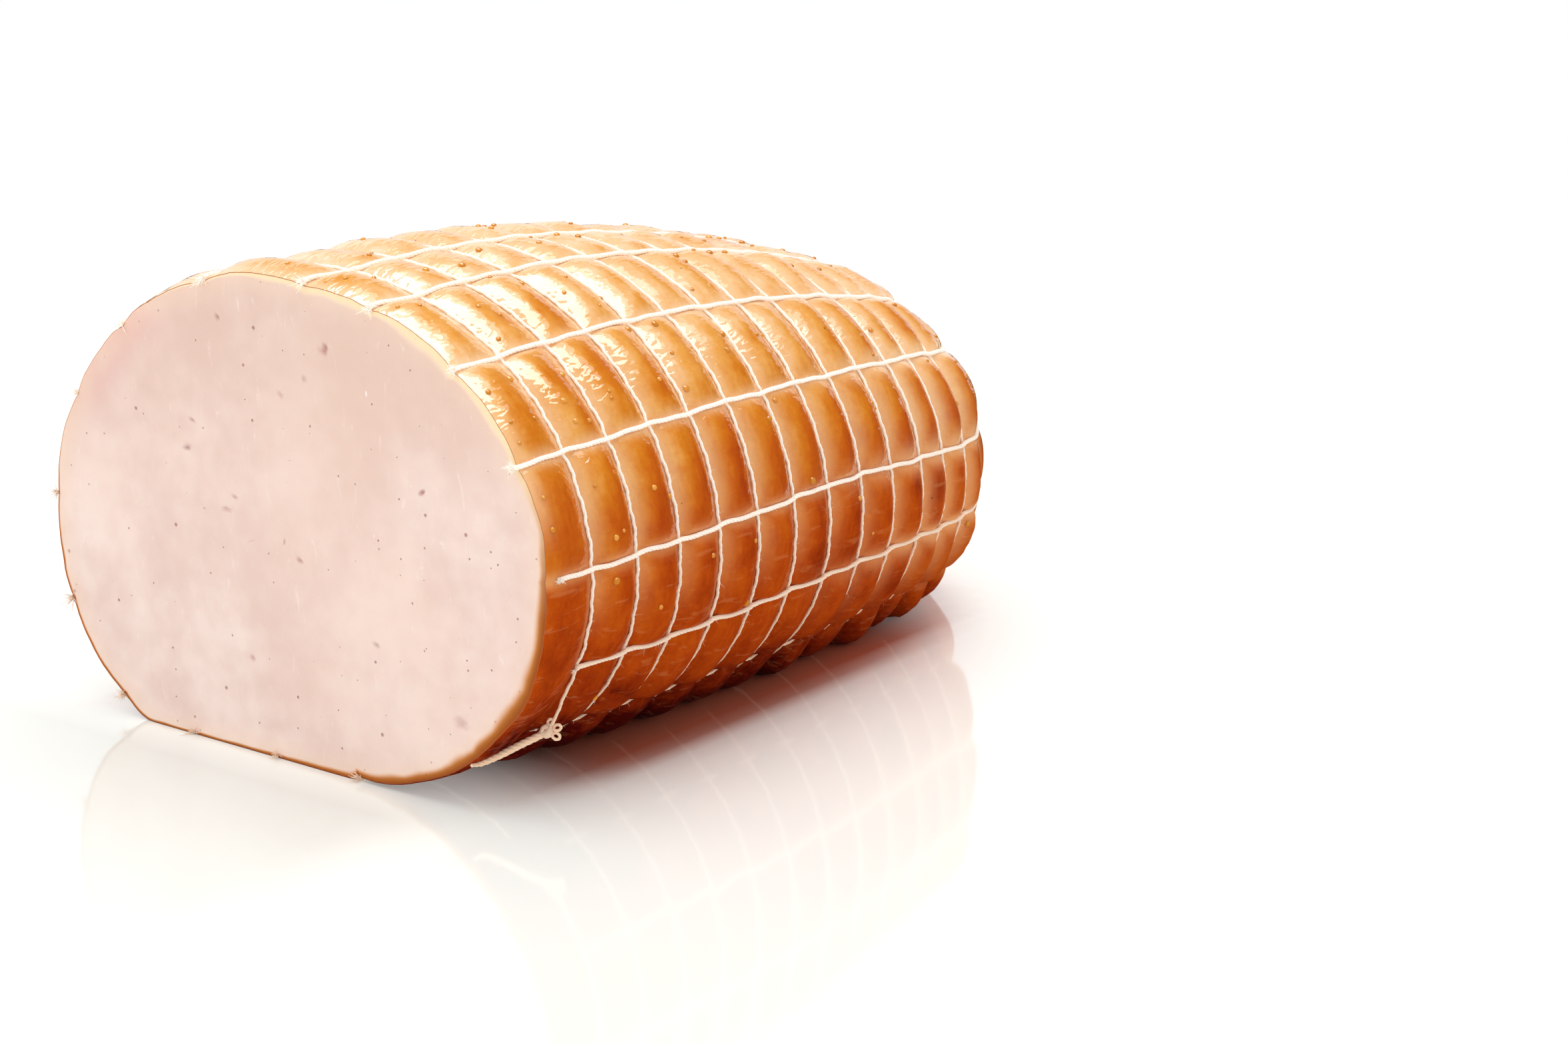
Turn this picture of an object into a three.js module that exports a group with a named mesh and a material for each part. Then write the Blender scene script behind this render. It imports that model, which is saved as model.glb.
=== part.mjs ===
// Roast turkey breast: boned, rolled, netted and smoked, with one end sliced off flat.
// Millimetres, +Z up. The roast lies along Y: the cut faces -Y and the closed end points along +Y.
// The skin is the level that the strings are pulled down to. Between the strings of the net the
// meat swells above it in pillows, one to each mesh of the net.
import * as THREE from "three";

const DEGREES = Math.PI / 180;

// The whole roast
const LENGTH = 261; // from the cut to the pole of the closed end
const AXIS_HEIGHT = 72; // centre of the section above what it lies on
const MEAN_RADIUS = 78; // of the section at the cut, at string level
const DOME_START = 214; // where the closed end begins to round over
const DOME_FULLNESS = 2.3; // power of the distance into the dome, 2 is a ball's
const DOME_ROOT = 1.9; // root taken of what is left, 2 is a ball's

// How the section departs from a circle, as shares of its mean radius, and how that changes
// for each 100 mm along the roast
const SAG = -0.117; // wider below the middle than above it
const SAG_CHANGE = -0.064;
const OVAL = 0.142; // wider than it is high
const OVAL_CHANGE = -0.011;
const OVAL_TURN = 0.043; // the oval leans over to the right
const THREE_SIDED = 0.023; // fuller on the right flank
const THREE_SIDED_CHANGE = -0.008;
const SHOULDERS = -0.035; // flatter on top, fuller towards the foot

// How the roast tapers, per 100 mm and per 100 mm squared
const WIDTH_SLOPE = -0.061;
const WIDTH_CURVE = 0.017;
const TOP_SLOPE = 0.237;
const TOP_CURVE = -0.167;
const FOOT_SLOPE = 0.048;
const FOOT_CURVE = -0.027;
const DRIFT_SLOPE = 11; // mm that the middle wanders to the right per 100 mm
const DRIFT_CURVE = -5.6;
const LEFT_STEADINESS = 1.05; // the left flank stays where it is, so that it isn't waisted
const LEAN = -0.083; // the rings of the net lean as the top slopes down
const RING_TURN = -0.014; // and turn towards the cut on the right flank
const RING_TURN_CURVE = -0.026;
const LEFT_TURN_SHARE = 0.3; // the left flank turns less

// Where it rests
const FOOT_LEVEL = 3; // string level of the underside above the ground
const FOOT_SOFTNESS = 2; // how gently the flank bends into the underside

// The net
const STRING_ANGLES = [
  79, 58, 35, 15.5, -3, -20, -38.5, -70.5, -95, -118, -136, -155, -173.5, -194, -215, -246,
];
const SLIPPED_STRINGS = { 1: 1.5, 4: -3.4, 5: -1.5, 9: 2.5, 13: -3, 14: 2 }; // degrees, by index
const SLIP_FROM = 120; // a string that has slipped round does so from here
const SLIP_TO = 225;
const FIRST_RING = 18; // from the cut, along the flank
const RING_PITCH = 17.3;
const CROWDED_PITCH = 14; // where the net bunches up, on the shoulder of the closed end
const CROWDED_FROM = 10; // ring after which it bunches up
const CROWDED_TO = 13; // ring after which it opens again
const DOME_PITCH = 22; // over the closed end
const CLOSING_DISTANCE = 8; // last ring to the pole
const STRING_WIDTH = 1.7; // lengthwise strings
const RING_WIDTH = 1.2; // strings round the roast
const STRING_THICKNESS = 1.4;
const STRING_LIFT = 1.15; // underside of a string above the bottom of its groove
const STRING_END_GAP = 0.4; // cut ends of the strings stop behind the face

// The pillows
const PILLOW_HEIGHT = 2.5;
const FOOT_PILLOW_HEIGHT = 5; // before the weight of the roast presses it flat
const PILLOW_VARIATION = 0.3; // share of the height that differs from pillow to pillow
const CUT_ROW_START = 0.4; // how far into a pillow the knife went through
const FLAT_SPAN = 17; // a pillow shorter than this is lower in proportion
const NARROW_SPAN = 26; // so is one narrower than this, from string to string
const RANDOM_SEED = 7;

// The knotted loose string at the cut: each place on its route is degrees on from its own string,
// mm from the first ring towards the cut, and mm above the skin
const KNOT_STRING = 6; // index of the lengthwise string that is loose
const LOOSE_ROUTE = [
  [8.5, 1.5, 5.6],
  [6, 4.2, 5.8],
  [3, 8, 5.3],
  [-0.3, 11, 5.1],
  [-2.6, 14, 5],
  [-2.6, 17.2, 5],
];
const LOOSE_RADIUS = 1.1;
const LOOSE_SIDES = 8;
const LOOSE_STEPS = 16;
const KNOT_RADIUS = 2.6;
const KNOT_SHARE = 0.3; // of the route that the knot takes up
const KNOT_LOBES = 3;
const KNOT_LOBE_HEIGHT = 0.16; // share of the radius

// The tuft that closes the far end, as radius and distance from its base
const TUFT_PROFILE = [[0, 0], [6, 0], [7, 1.5], [4.2, 4], [5.2, 7], [7.5, 12.5], [5, 14], [0, 13]];
const TUFT_GAP = 1;

const COLUMNS_PER_MESH = 3; // facets across one mesh, round the roast
const RING_STEPS = 2; // straight stretches of a ring from string to string
const CORNER_MESH = 6; // the mesh that wraps the lower right corner takes twice as many
const ROWS_PER_MESH = 3; // facets along one mesh
const ROWS_PER_DOME_MESH = 2;
const HUNDRED = 100;

const skinMaterial = new THREE.MeshStandardMaterial({ color: 0xc98544, roughness: 0.35, metalness: 0 });
const twineMaterial = new THREE.MeshStandardMaterial({ color: 0xf1e3d2, roughness: 0.9, metalness: 0 });

// A small seeded generator of numbers from 0 to 1
function randomNumbers(seed) {
  let state = seed;
  return () => {
    state = (state * 1664525 + 1013904223) % 4294967296;
    return state / 4294967296;
  };
}

// Radius of the section at an angle from +X towards +Z
function sectionRadius(angle, hundreds) {
  const sag = (SAG + SAG_CHANGE * hundreds) * Math.sin(angle);
  const oval = (OVAL + OVAL_CHANGE * hundreds) * Math.cos(2 * angle) + OVAL_TURN * Math.sin(2 * angle);
  const threeSided = (THREE_SIDED + THREE_SIDED_CHANGE * hundreds) * Math.cos(3 * angle);
  return MEAN_RADIUS * (1 + sag + oval + threeSided + SHOULDERS * Math.sin(3 * angle));
}

// Share of the full section that is left, 1 along the body and 0 at the pole
function domeShare(along) {
  const into = Math.max(0, (along - DOME_START) / (LENGTH - DOME_START));
  return Math.max(0, 1 - into ** DOME_FULLNESS) ** (1 / DOME_ROOT);
}

// A point of the skin at string level
function skinPoint(angle, along) {
  const hundreds = along / HUNDRED;
  const radius = sectionRadius(angle, hundreds) * domeShare(along);
  const across = radius * Math.cos(angle) * (1 + WIDTH_SLOPE * hundreds + WIDTH_CURVE * hundreds ** 2);
  const rise = radius * Math.sin(angle);
  const upper = 1 + TOP_SLOPE * hundreds + TOP_CURVE * hundreds ** 2;
  const lower = 1 + FOOT_SLOPE * hundreds + FOOT_CURVE * hundreds ** 2;
  const up = rise * (rise > 0 ? upper : lower);
  const turning = across * (across > 0 ? 1 : LEFT_TURN_SHARE);
  const turn = (RING_TURN * hundreds + RING_TURN_CURVE * hundreds ** 2) * turning;
  const aboveFoot = AXIS_HEIGHT + up - FOOT_LEVEL;
  const height = FOOT_LEVEL + (aboveFoot + Math.hypot(aboveFoot, 2 * FOOT_SOFTNESS)) / 2;
  const steadiness = LEFT_STEADINESS * (Math.min(0, across) / MEAN_RADIUS) ** 2;
  const drift = (DRIFT_SLOPE * hundreds + DRIFT_CURVE * hundreds ** 2) * (1 - steadiness);
  return new THREE.Vector3(across + drift, along + LEAN * hundreds * up + turn, height);
}

// A point raised above the skin along its normal, which is measured over a small step each way
function raisedPoint(angle, along, height) {
  const step = 0.02;
  const near = Math.min(along, LENGTH - 2 * step);
  const round = skinPoint(angle + step, near).sub(skinPoint(angle - step, near));
  const forth = skinPoint(angle, near + step).sub(skinPoint(angle, Math.max(0, near - step)));
  const normal = forth.cross(round).normalize();
  return skinPoint(angle, along).addScaledVector(normal, height);
}

// Distance along the right flank from the cut, and the way back from a distance to the length
const FLANK_STEPS = 600;
const flank = [{ along: 0, distance: 0 }];
for (let i = 1; i <= FLANK_STEPS; i++) {
  const along = LENGTH * Math.sin((Math.PI / 2) * (i / FLANK_STEPS));
  const last = flank[i - 1];
  const span = skinPoint(0, along).distanceTo(skinPoint(0, last.along));
  flank.push({ along, distance: last.distance + span });
}
const FLANK_LENGTH = flank[FLANK_STEPS].distance;

function alongAt(distance) {
  const i = Math.max(1, flank.findIndex((place) => place.distance >= distance));
  const share = (distance - flank[i - 1].distance) / (flank[i].distance - flank[i - 1].distance);
  return THREE.MathUtils.lerp(flank[i - 1].along, flank[i].along, share);
}

// Distances of the rings from the cut
const rings = [];
for (let distance = FIRST_RING; distance < FLANK_LENGTH - 2 * CLOSING_DISTANCE;) {
  rings.push(distance);
  const onShoulder = rings.length < CROWDED_TO ? CROWDED_PITCH : DOME_PITCH;
  distance += rings.length < CROWDED_FROM ? RING_PITCH : onShoulder;
}
rings.push(FLANK_LENGTH - CLOSING_DISTANCE);

// Angle of a lengthwise string at a place along the roast; past the last comes the first again
function stringAngle(i, along) {
  const index = i % STRING_ANGLES.length;
  const slip = (SLIPPED_STRINGS[index] ?? 0) * THREE.MathUtils.smoothstep(along, SLIP_FROM, SLIP_TO);
  return (STRING_ANGLES[index] + slip) * DEGREES - (i > index ? 2 * Math.PI : 0);
}

// 0 at both ends of a mesh and 1 in its middle, rounder where the power is low
function swelling(share, power) {
  return 1 - Math.abs(2 * share - 1) ** power;
}

// Height of the pillow at a place in its mesh: along from ring to ring, round from string to string
function pillowHeight(full, alongShare, roundShare) {
  return full * swelling(alongShare, 2.4) ** 0.8 * swelling(roundShare, 4) ** 0.8;
}

// A closed body from its triangles
function solid(name, material, corners) {
  const geometry = new THREE.BufferGeometry();
  const values = corners.flatMap((corner) => corner.toArray());
  geometry.setAttribute("position", new THREE.Float32BufferAttribute(values, 3));
  geometry.computeVertexNormals();
  const mesh = new THREE.Mesh(geometry, material);
  mesh.name = name;
  return mesh;
}

// Two triangles over four corners in order, seen from outside
function quad(corners, a, b, c, d) {
  corners.push(a, b, c, a, c, d);
}

// Full height of each pillow, by row and by string, even along the net apart from a seeded draw
function pillowHeights() {
  const draw = randomNumbers(RANDOM_SEED);
  const bounds = [0, ...rings];
  return rings.map((end, row) => {
    const span = end - bounds[row];
    const along = alongAt(end);
    return STRING_ANGLES.map((unused, i) => {
      const [angle, nextAngle] = [stringAngle(i, along), stringAngle(i + 1, along)];
      const middle = (angle + nextAngle) / 2;
      const underneath = THREE.MathUtils.smoothstep(-Math.sin(middle), 0.7, 0.9);
      const own = THREE.MathUtils.lerp(PILLOW_HEIGHT, FOOT_PILLOW_HEIGHT, underneath);
      const width = skinPoint(angle, along).distanceTo(skinPoint(nextAngle, along));
      const room = Math.min(1, span / FLAT_SPAN) * Math.min(1, width / NARROW_SPAN);
      return own * (1 + PILLOW_VARIATION * (draw() - 0.5)) * room;
    });
  });
}

// The meat: rows of points from the cut to the pole, each row once round
function makeRoast() {
  const heights = pillowHeights();
  const bounds = [0, ...rings];
  const rowOfPoints = (row, alongShare, distance) => {
    const along = alongAt(distance);
    const points = [];
    STRING_ANGLES.forEach((unused, i) => {
      for (let column = 0; column < COLUMNS_PER_MESH; column++) {
        const roundShare = column / COLUMNS_PER_MESH;
        const place = THREE.MathUtils.lerp(stringAngle(i, along), stringAngle(i + 1, along), roundShare);
        const height = row < rings.length ? pillowHeight(heights[row][i], alongShare, roundShare) : 0;
        const point = raisedPoint(place, along, height);
        point.z = Math.max(0, point.z);
        if (distance === 0) {
          point.y = 0;
        }
        points.push(point);
      }
    });
    return points;
  };
  const rows = [];
  rings.forEach((end, row) => {
    const start = bounds[row];
    const steps = row < CROWDED_FROM + 1 ? ROWS_PER_MESH : ROWS_PER_DOME_MESH;
    for (let step = 0; step < steps; step++) {
      const share = step / steps;
      const alongShare = row === 0 ? THREE.MathUtils.lerp(CUT_ROW_START, 1, share) : share;
      rows.push(rowOfPoints(row, alongShare, THREE.MathUtils.lerp(start, end, share)));
    }
  });
  rows.push(rowOfPoints(rings.length, 0, rings[rings.length - 1]));
  const corners = [];
  const count = rows[0].length;
  const pole = skinPoint(0, LENGTH);
  const face = rows[0].reduce((sum, point) => sum.add(point), new THREE.Vector3()).divideScalar(count);
  for (let i = 0; i < count; i++) {
    const next = (i + 1) % count;
    const last = rows[rows.length - 1];
    corners.push(rows[0][next], rows[0][i], face);
    corners.push(last[i], last[next], pole);
    for (let row = 0; row + 1 < rows.length; row++) {
      quad(corners, rows[row][i], rows[row][next], rows[row + 1][next], rows[row + 1][i]);
    }
  }
  return solid("roast", skinMaterial, corners);
}

// Half the angle that a width takes up at a place on the skin
function halfAngle(angle, along, width) {
  const step = 0.01;
  return (width * step) / skinPoint(angle + step, along).distanceTo(skinPoint(angle - step, along));
}

// The net: a grid of lines, two to each string and one or more between strings, two to each ring.
// The cells on a string or a ring are solid and the meshes between them are open.
function makeNet() {
  const lines = [{ distance: STRING_END_GAP, ring: false }];
  rings.forEach((distance, row) => {
    const start = lines[lines.length - 1].distance;
    if (row > CROWDED_FROM) {
      lines.push({ distance: (start + distance) / 2, ring: false });
    }
    lines.push({ distance: distance - RING_WIDTH / 2, ring: true });
    lines.push({ distance: distance + RING_WIDTH / 2, ring: false });
  });
  // Each column of cells starts at a string's edge or at a share of the way to the next string
  const columns = STRING_ANGLES.flatMap((unused, i) => {
    const steps = i === CORNER_MESH ? 2 * RING_STEPS : RING_STEPS;
    const between = Array.from({ length: steps - 1 }, (none, step) => (step + 1) / steps);
    const edges = [{ i, side: 1, onString: true }, { i, side: -1, onString: false }];
    return [...edges, ...between.map((share) => ({ i, share, onString: false }))];
  });
  const grid = lines.map(({ distance }) => {
    const along = alongAt(distance);
    return columns.map(({ i, side, share }) => {
      const [angle, nextAngle] = [stringAngle(i, along), stringAngle(i + 1, along)];
      const half = halfAngle(angle, along, STRING_WIDTH);
      const place = side ? angle + side * half : THREE.MathUtils.lerp(angle, nextAngle, share);
      const inner = raisedPoint(place, along, STRING_LIFT);
      const outer = raisedPoint(place, along, STRING_LIFT + STRING_THICKNESS);
      return { inner, outer };
    });
  });
  const count = columns.length;
  const filled = (row, column) => {
    if (row < 0 || row + 1 >= lines.length) {
      return false;
    }
    const loose = row === 0 && columns[column].i === KNOT_STRING;
    return lines[row].ring || (columns[column].onString && !loose);
  };
  const corners = [];
  for (let row = 0; row + 1 < lines.length; row++) {
    for (let column = 0; column < count; column++) {
      if (!filled(row, column)) {
        continue;
      }
      const next = (column + 1) % count;
      const [a, b] = [grid[row][column], grid[row][next]];
      const [c, d] = [grid[row + 1][next], grid[row + 1][column]];
      quad(corners, a.outer, b.outer, c.outer, d.outer);
      quad(corners, a.inner, d.inner, c.inner, b.inner);
      if (!filled(row - 1, column)) {
        quad(corners, a.inner, b.inner, b.outer, a.outer);
      }
      if (!filled(row + 1, column)) {
        quad(corners, c.inner, d.inner, d.outer, c.outer);
      }
      if (!filled(row, (column + count - 1) % count)) {
        quad(corners, d.inner, a.inner, a.outer, d.outer);
      }
      if (!filled(row, next)) {
        quad(corners, b.inner, c.inner, c.outer, b.outer);
      }
    }
  }
  return solid("net", twineMaterial, corners);
}

// The loose end of a lengthwise string: a round strand that leaves its knot on the first ring,
// stands a little off the meat and runs down to the rim of the cut
function makeLooseString() {
  const path = new THREE.CatmullRomCurve3(
    LOOSE_ROUTE.map(([turn, forward, height]) => {
      const along = alongAt(FIRST_RING - forward);
      return raisedPoint(stringAngle(KNOT_STRING, along) + turn * DEGREES, along, height);
    }),
  );
  const frames = path.computeFrenetFrames(LOOSE_STEPS, false);
  const sections = frames.normals.map((normal, i) => {
    const share = i / LOOSE_STEPS;
    const inKnot = Math.max(0, 1 - share / KNOT_SHARE);
    const swell = Math.sqrt(Math.max(0, 1 - (2 * inKnot - 1) ** 2)) * (inKnot > 0 ? 1 : 0);
    const points = [];
    for (let side = 0; side < LOOSE_SIDES; side++) {
      const turn = (2 * Math.PI * side) / LOOSE_SIDES;
      const lobe = 1 + swell * KNOT_LOBE_HEIGHT * Math.cos(KNOT_LOBES * turn);
      const radius = THREE.MathUtils.lerp(LOOSE_RADIUS, KNOT_RADIUS, swell) * lobe;
      const point = path.getPointAt(share);
      point.addScaledVector(normal, radius * Math.cos(turn));
      point.addScaledVector(frames.binormals[i], radius * Math.sin(turn));
      points.push(point);
    }
    return points;
  });
  const corners = [];
  const [first, last] = [path.getPointAt(0), path.getPointAt(1)];
  for (let side = 0; side < LOOSE_SIDES; side++) {
    const next = (side + 1) % LOOSE_SIDES;
    corners.push(sections[0][next], sections[0][side], first);
    corners.push(sections[LOOSE_STEPS][side], sections[LOOSE_STEPS][next], last);
    for (let i = 0; i < LOOSE_STEPS; i++) {
      quad(corners, sections[i][side], sections[i][next], sections[i + 1][next], sections[i + 1][side]);
    }
  }
  return solid("loose_string", twineMaterial, corners);
}

// The gathered end of the net, tied off in a short tuft over the pole
function makeTuft() {
  const profile = TUFT_PROFILE.map(([radius, height]) => new THREE.Vector2(radius, height));
  const mesh = new THREE.Mesh(new THREE.LatheGeometry(profile, 14), twineMaterial);
  mesh.name = "end_tuft";
  const pole = skinPoint(0, LENGTH);
  mesh.position.copy(pole);
  mesh.position.y += STRING_LIFT + STRING_THICKNESS + TUFT_GAP;
  return mesh;
}

const roast = new THREE.Group();
roast.add(makeRoast(), makeNet(), makeLooseString(), makeTuft());

// The origin is the middle of the foot of the whole
const size = new THREE.Box3().setFromObject(roast, true);
const middle = size.getCenter(new THREE.Vector3());
roast.position.set(-middle.x, -middle.y, -size.min.z);

export default roast;
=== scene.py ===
"""Looks of the netted roast turkey breast: its crust, its cut, its string net and a plain studio.

Shapes are worked out in millimetres along the roast's own axes: the cut lies at 0 and the closed
end along +Y, and the ground at 0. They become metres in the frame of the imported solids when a
piece is made. Angles go round from +X towards +Z. The named dimensions are the part's own.
"""

import itertools
import math

import bpy
import numpy as np
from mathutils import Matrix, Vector


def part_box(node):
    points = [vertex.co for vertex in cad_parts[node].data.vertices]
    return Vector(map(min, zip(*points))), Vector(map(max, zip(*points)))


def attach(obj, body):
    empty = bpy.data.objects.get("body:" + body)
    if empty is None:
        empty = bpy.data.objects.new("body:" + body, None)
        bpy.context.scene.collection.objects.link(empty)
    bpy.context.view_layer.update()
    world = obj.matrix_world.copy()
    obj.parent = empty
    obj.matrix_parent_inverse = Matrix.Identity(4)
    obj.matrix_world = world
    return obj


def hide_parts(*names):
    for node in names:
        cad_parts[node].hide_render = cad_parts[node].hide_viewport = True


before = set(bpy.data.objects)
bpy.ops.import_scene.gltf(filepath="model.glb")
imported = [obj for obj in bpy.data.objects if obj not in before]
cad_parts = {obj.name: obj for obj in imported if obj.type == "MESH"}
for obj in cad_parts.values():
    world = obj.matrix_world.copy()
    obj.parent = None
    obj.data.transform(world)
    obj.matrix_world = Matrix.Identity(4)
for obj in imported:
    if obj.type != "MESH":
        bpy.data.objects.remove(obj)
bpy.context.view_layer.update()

MM = 0.001
TAU = 2 * math.pi

# The whole roast
LENGTH = 261.0
AXIS_HEIGHT = 72.0
MEAN_RADIUS = 78.0
DOME_START = 214.0
DOME_FULLNESS = 2.3
DOME_ROOT = 1.9
SAG = -0.117
SAG_CHANGE = -0.064
OVAL = 0.142
OVAL_CHANGE = -0.011
OVAL_TURN = 0.043
THREE_SIDED = 0.023
THREE_SIDED_CHANGE = -0.008
SHOULDERS = -0.035
WIDTH_SLOPE = -0.061
WIDTH_CURVE = 0.017
TOP_SLOPE = 0.237
TOP_CURVE = -0.167
FOOT_SLOPE = 0.048
FOOT_CURVE = -0.027
DRIFT_SLOPE = 11.0
DRIFT_CURVE = -5.6
LEFT_STEADINESS = 1.05
LEAN = -0.083
RING_TURN = -0.014
RING_TURN_CURVE = -0.026
LEFT_TURN_SHARE = 0.3
FOOT_LEVEL = 3.0
FOOT_SOFTNESS = 2.0

# The net
STRING_ANGLES = [79, 58, 35, 15.5, -3, -20, -38.5, -70.5, -95, -118, -136, -155, -173.5, -194, -215, -246]
STRINGS = len(STRING_ANGLES)
SLIPPED_STRINGS = {1: 1.5, 4: -3.4, 5: -1.5, 9: 2.5, 13: -3, 14: 2}
SLIP_FROM = 120.0
SLIP_TO = 225.0
SAGGING_STRINGS = {3: 0.2, 4: 0.45, 5: 1.3}  # mm down, most before each ring, which pulls them up again
FIRST_RING = 18.0
RING_PITCH = 17.3
CROWDED_PITCH = 14.0
CROWDED_FROM = 10
CROWDED_TO = 13
DOME_PITCH = 22.0
CLOSING_DISTANCE = 8.0

# The pillows between the strings
PILLOW_HEIGHT = 2.5
FOOT_PILLOW_HEIGHT = 5.0
PILLOW_VARIATION = 0.3
CUT_ROW_START = 0.4
FLAT_SPAN = 17.0
NARROW_SPAN = 26.0
UNDERNEATH = (0.7, 0.9)  # sine of the downward angle between which a pillow becomes one of the foot
RANDOM_SEED = 7


def smoothstep(values, low, high):
    """0 before low, 1 past high, and 3t^2 - 2t^3 of the share t between them. Low may be the
    larger of the two, and the values then fall towards high."""
    share = np.clip((values - low) / (high - low), 0, 1)
    return share * share * (3 - 2 * share)


def blend(start, end, share):
    """start where the share is 0, end where it is 1, and evenly between."""
    return start + (end - start) * share


def nearness(distance, reach):
    """1 at no distance, and less farther off: exp(-(distance / reach)^2)."""
    return np.exp(-((distance / reach) ** 2))


LATTICE_VALUES = 4099
LATTICE_KEY = np.array([73856093, 19349663, 83492791])  # large primes, to scatter corners over values


def lumps(points, size, seed):
    """Smooth lumps from -1 to 1: seeded values at the corners of a lattice of the given size in mm,
    blended between the eight corners round a point by 3t^2 - 2t^3 along each axis."""
    table = np.random.default_rng(seed).uniform(-1, 1, LATTICE_VALUES)
    cell = points / np.asarray(size, float)
    base = np.floor(cell).astype(np.int64)
    share = cell - base
    share = share * share * (3 - 2 * share)
    total = np.zeros(points.shape[:-1])
    for corner in itertools.product((0, 1), repeat=3):
        key = (base + corner) @ LATTICE_KEY
        weight = np.where(np.array(corner) == 1, share, 1 - share).prod(-1)
        total += table[key % LATTICE_VALUES] * weight
    return total


def section_radius(angle, hundreds):
    """Mean radius times one plus the sag, oval, three-sided and shoulder shares of the angle."""
    sag = (SAG + SAG_CHANGE * hundreds) * np.sin(angle)
    oval = (OVAL + OVAL_CHANGE * hundreds) * np.cos(2 * angle) + OVAL_TURN * np.sin(2 * angle)
    three = (THREE_SIDED + THREE_SIDED_CHANGE * hundreds) * np.cos(3 * angle)
    return MEAN_RADIUS * (1 + sag + oval + three + SHOULDERS * np.sin(3 * angle))


def skin(angle, along):
    """Points of the skin at string level: the section's radius, rounded off towards the pole by
    (1 - t^fullness)^(1 / root), turned by the angle, tapered, drifted, leaned, and bent softly
    into the foot by half of (a + hypot(a, 2 softness)) of the height a above it."""
    hundreds = along / 100
    into = np.clip((along - DOME_START) / (LENGTH - DOME_START), 0, 1)
    radius = section_radius(angle, hundreds) * np.clip(1 - into**DOME_FULLNESS, 0, 1) ** (1 / DOME_ROOT)
    across = radius * np.cos(angle) * (1 + WIDTH_SLOPE * hundreds + WIDTH_CURVE * hundreds**2)
    rise = radius * np.sin(angle)
    upper = 1 + TOP_SLOPE * hundreds + TOP_CURVE * hundreds**2
    lower = 1 + FOOT_SLOPE * hundreds + FOOT_CURVE * hundreds**2
    up = rise * np.where(rise > 0, upper, lower)
    turning = across * np.where(across > 0, 1, LEFT_TURN_SHARE)
    turn = (RING_TURN * hundreds + RING_TURN_CURVE * hundreds**2) * turning
    above = AXIS_HEIGHT + up - FOOT_LEVEL
    height = FOOT_LEVEL + (above + np.hypot(above, 2 * FOOT_SOFTNESS)) / 2
    steadiness = LEFT_STEADINESS * (np.minimum(0, across) / MEAN_RADIUS) ** 2
    drift = (DRIFT_SLOPE * hundreds + DRIFT_CURVE * hundreds**2) * (1 - steadiness)
    return np.stack([across + drift, along + LEAN * hundreds * up + turn, height], -1)


SMALL_STEP = 0.02  # mm along, or radians round, over which a direction of the skin is taken


def skin_normal(angle, along):
    """Outward direction: the cross of a small step forth and a small step round, made unit."""
    near = np.minimum(along, LENGTH - 2 * SMALL_STEP)
    around = skin(angle + SMALL_STEP, near) - skin(angle - SMALL_STEP, near)
    forth = skin(angle, near + SMALL_STEP) - skin(angle, np.maximum(0, near - SMALL_STEP))
    normal = np.cross(forth, around)
    return normal / np.linalg.norm(normal, axis=-1, keepdims=True)


def raised(angle, along, height):
    """Points at a height above the skin, along its normal."""
    angle, along, height = np.broadcast_arrays(angle, along, height)
    return skin(angle, along) + skin_normal(angle, along) * height[..., None]


FLANK_POINTS = 601
FLANK_ALONG = LENGTH * np.sin(np.pi / 2 * np.arange(FLANK_POINTS) / (FLANK_POINTS - 1))
FLANK_STEPS = np.linalg.norm(np.diff(skin(0.0, FLANK_ALONG), axis=0), axis=1)
FLANK_DISTANCE = np.concatenate([[0], np.cumsum(FLANK_STEPS)])
FLANK_LENGTH = FLANK_DISTANCE[-1]


def along_at(distance):
    """Place along the axis of a distance from the cut, measured on the right flank."""
    return np.interp(distance, FLANK_DISTANCE, FLANK_ALONG)


def string_angle(index, along):
    """Angle of a lengthwise string, slipped round by 3t^2 - 2t^3 of its slip, less its sag times
    s (1 - s^8) at the share s of the way between two rings; past the last string comes the first
    again, a whole turn less."""
    index = np.asarray(index)
    own = index % STRINGS
    slips = np.array([SLIPPED_STRINGS.get(i, 0.0) for i in range(STRINGS)])
    slip = slips[own] * smoothstep(along, SLIP_FROM, SLIP_TO)
    distance = np.interp(along, FLANK_ALONG, FLANK_DISTANCE)
    row = np.minimum(np.searchsorted(RINGS, distance), len(RINGS) - 1)
    share = np.clip((distance - ROW_STARTS[row]) / (RINGS[row] - ROW_STARTS[row]), 0, 1)
    sags = np.array([SAGGING_STRINGS.get(i, 0.0) for i in range(STRINGS)]) / MEAN_RADIUS
    sag = sags[own] * share * (1 - share**8)
    return np.radians(np.array(STRING_ANGLES)[own] + slip) - sag - np.where(index > own, TAU, 0)


def ring_distances():
    """Distances of the rings from the cut: even, then crowded, then wider over the closed end."""
    found = []
    distance = FIRST_RING
    while distance < FLANK_LENGTH - 2 * CLOSING_DISTANCE:
        found.append(distance)
        on_shoulder = CROWDED_PITCH if len(found) < CROWDED_TO else DOME_PITCH
        distance += RING_PITCH if len(found) < CROWDED_FROM else on_shoulder
    return np.array(found + [FLANK_LENGTH - CLOSING_DISTANCE])


RINGS = ring_distances()
ROW_STARTS = np.concatenate([[0], RINGS[:-1]])


def swelling(share, power, edge=1.0):
    """0 at both ends of a mesh of the net and 1 in its middle: (1 - |2 share - 1|^power)^edge."""
    return (1 - np.abs(2 * share - 1) ** power) ** edge


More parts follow.
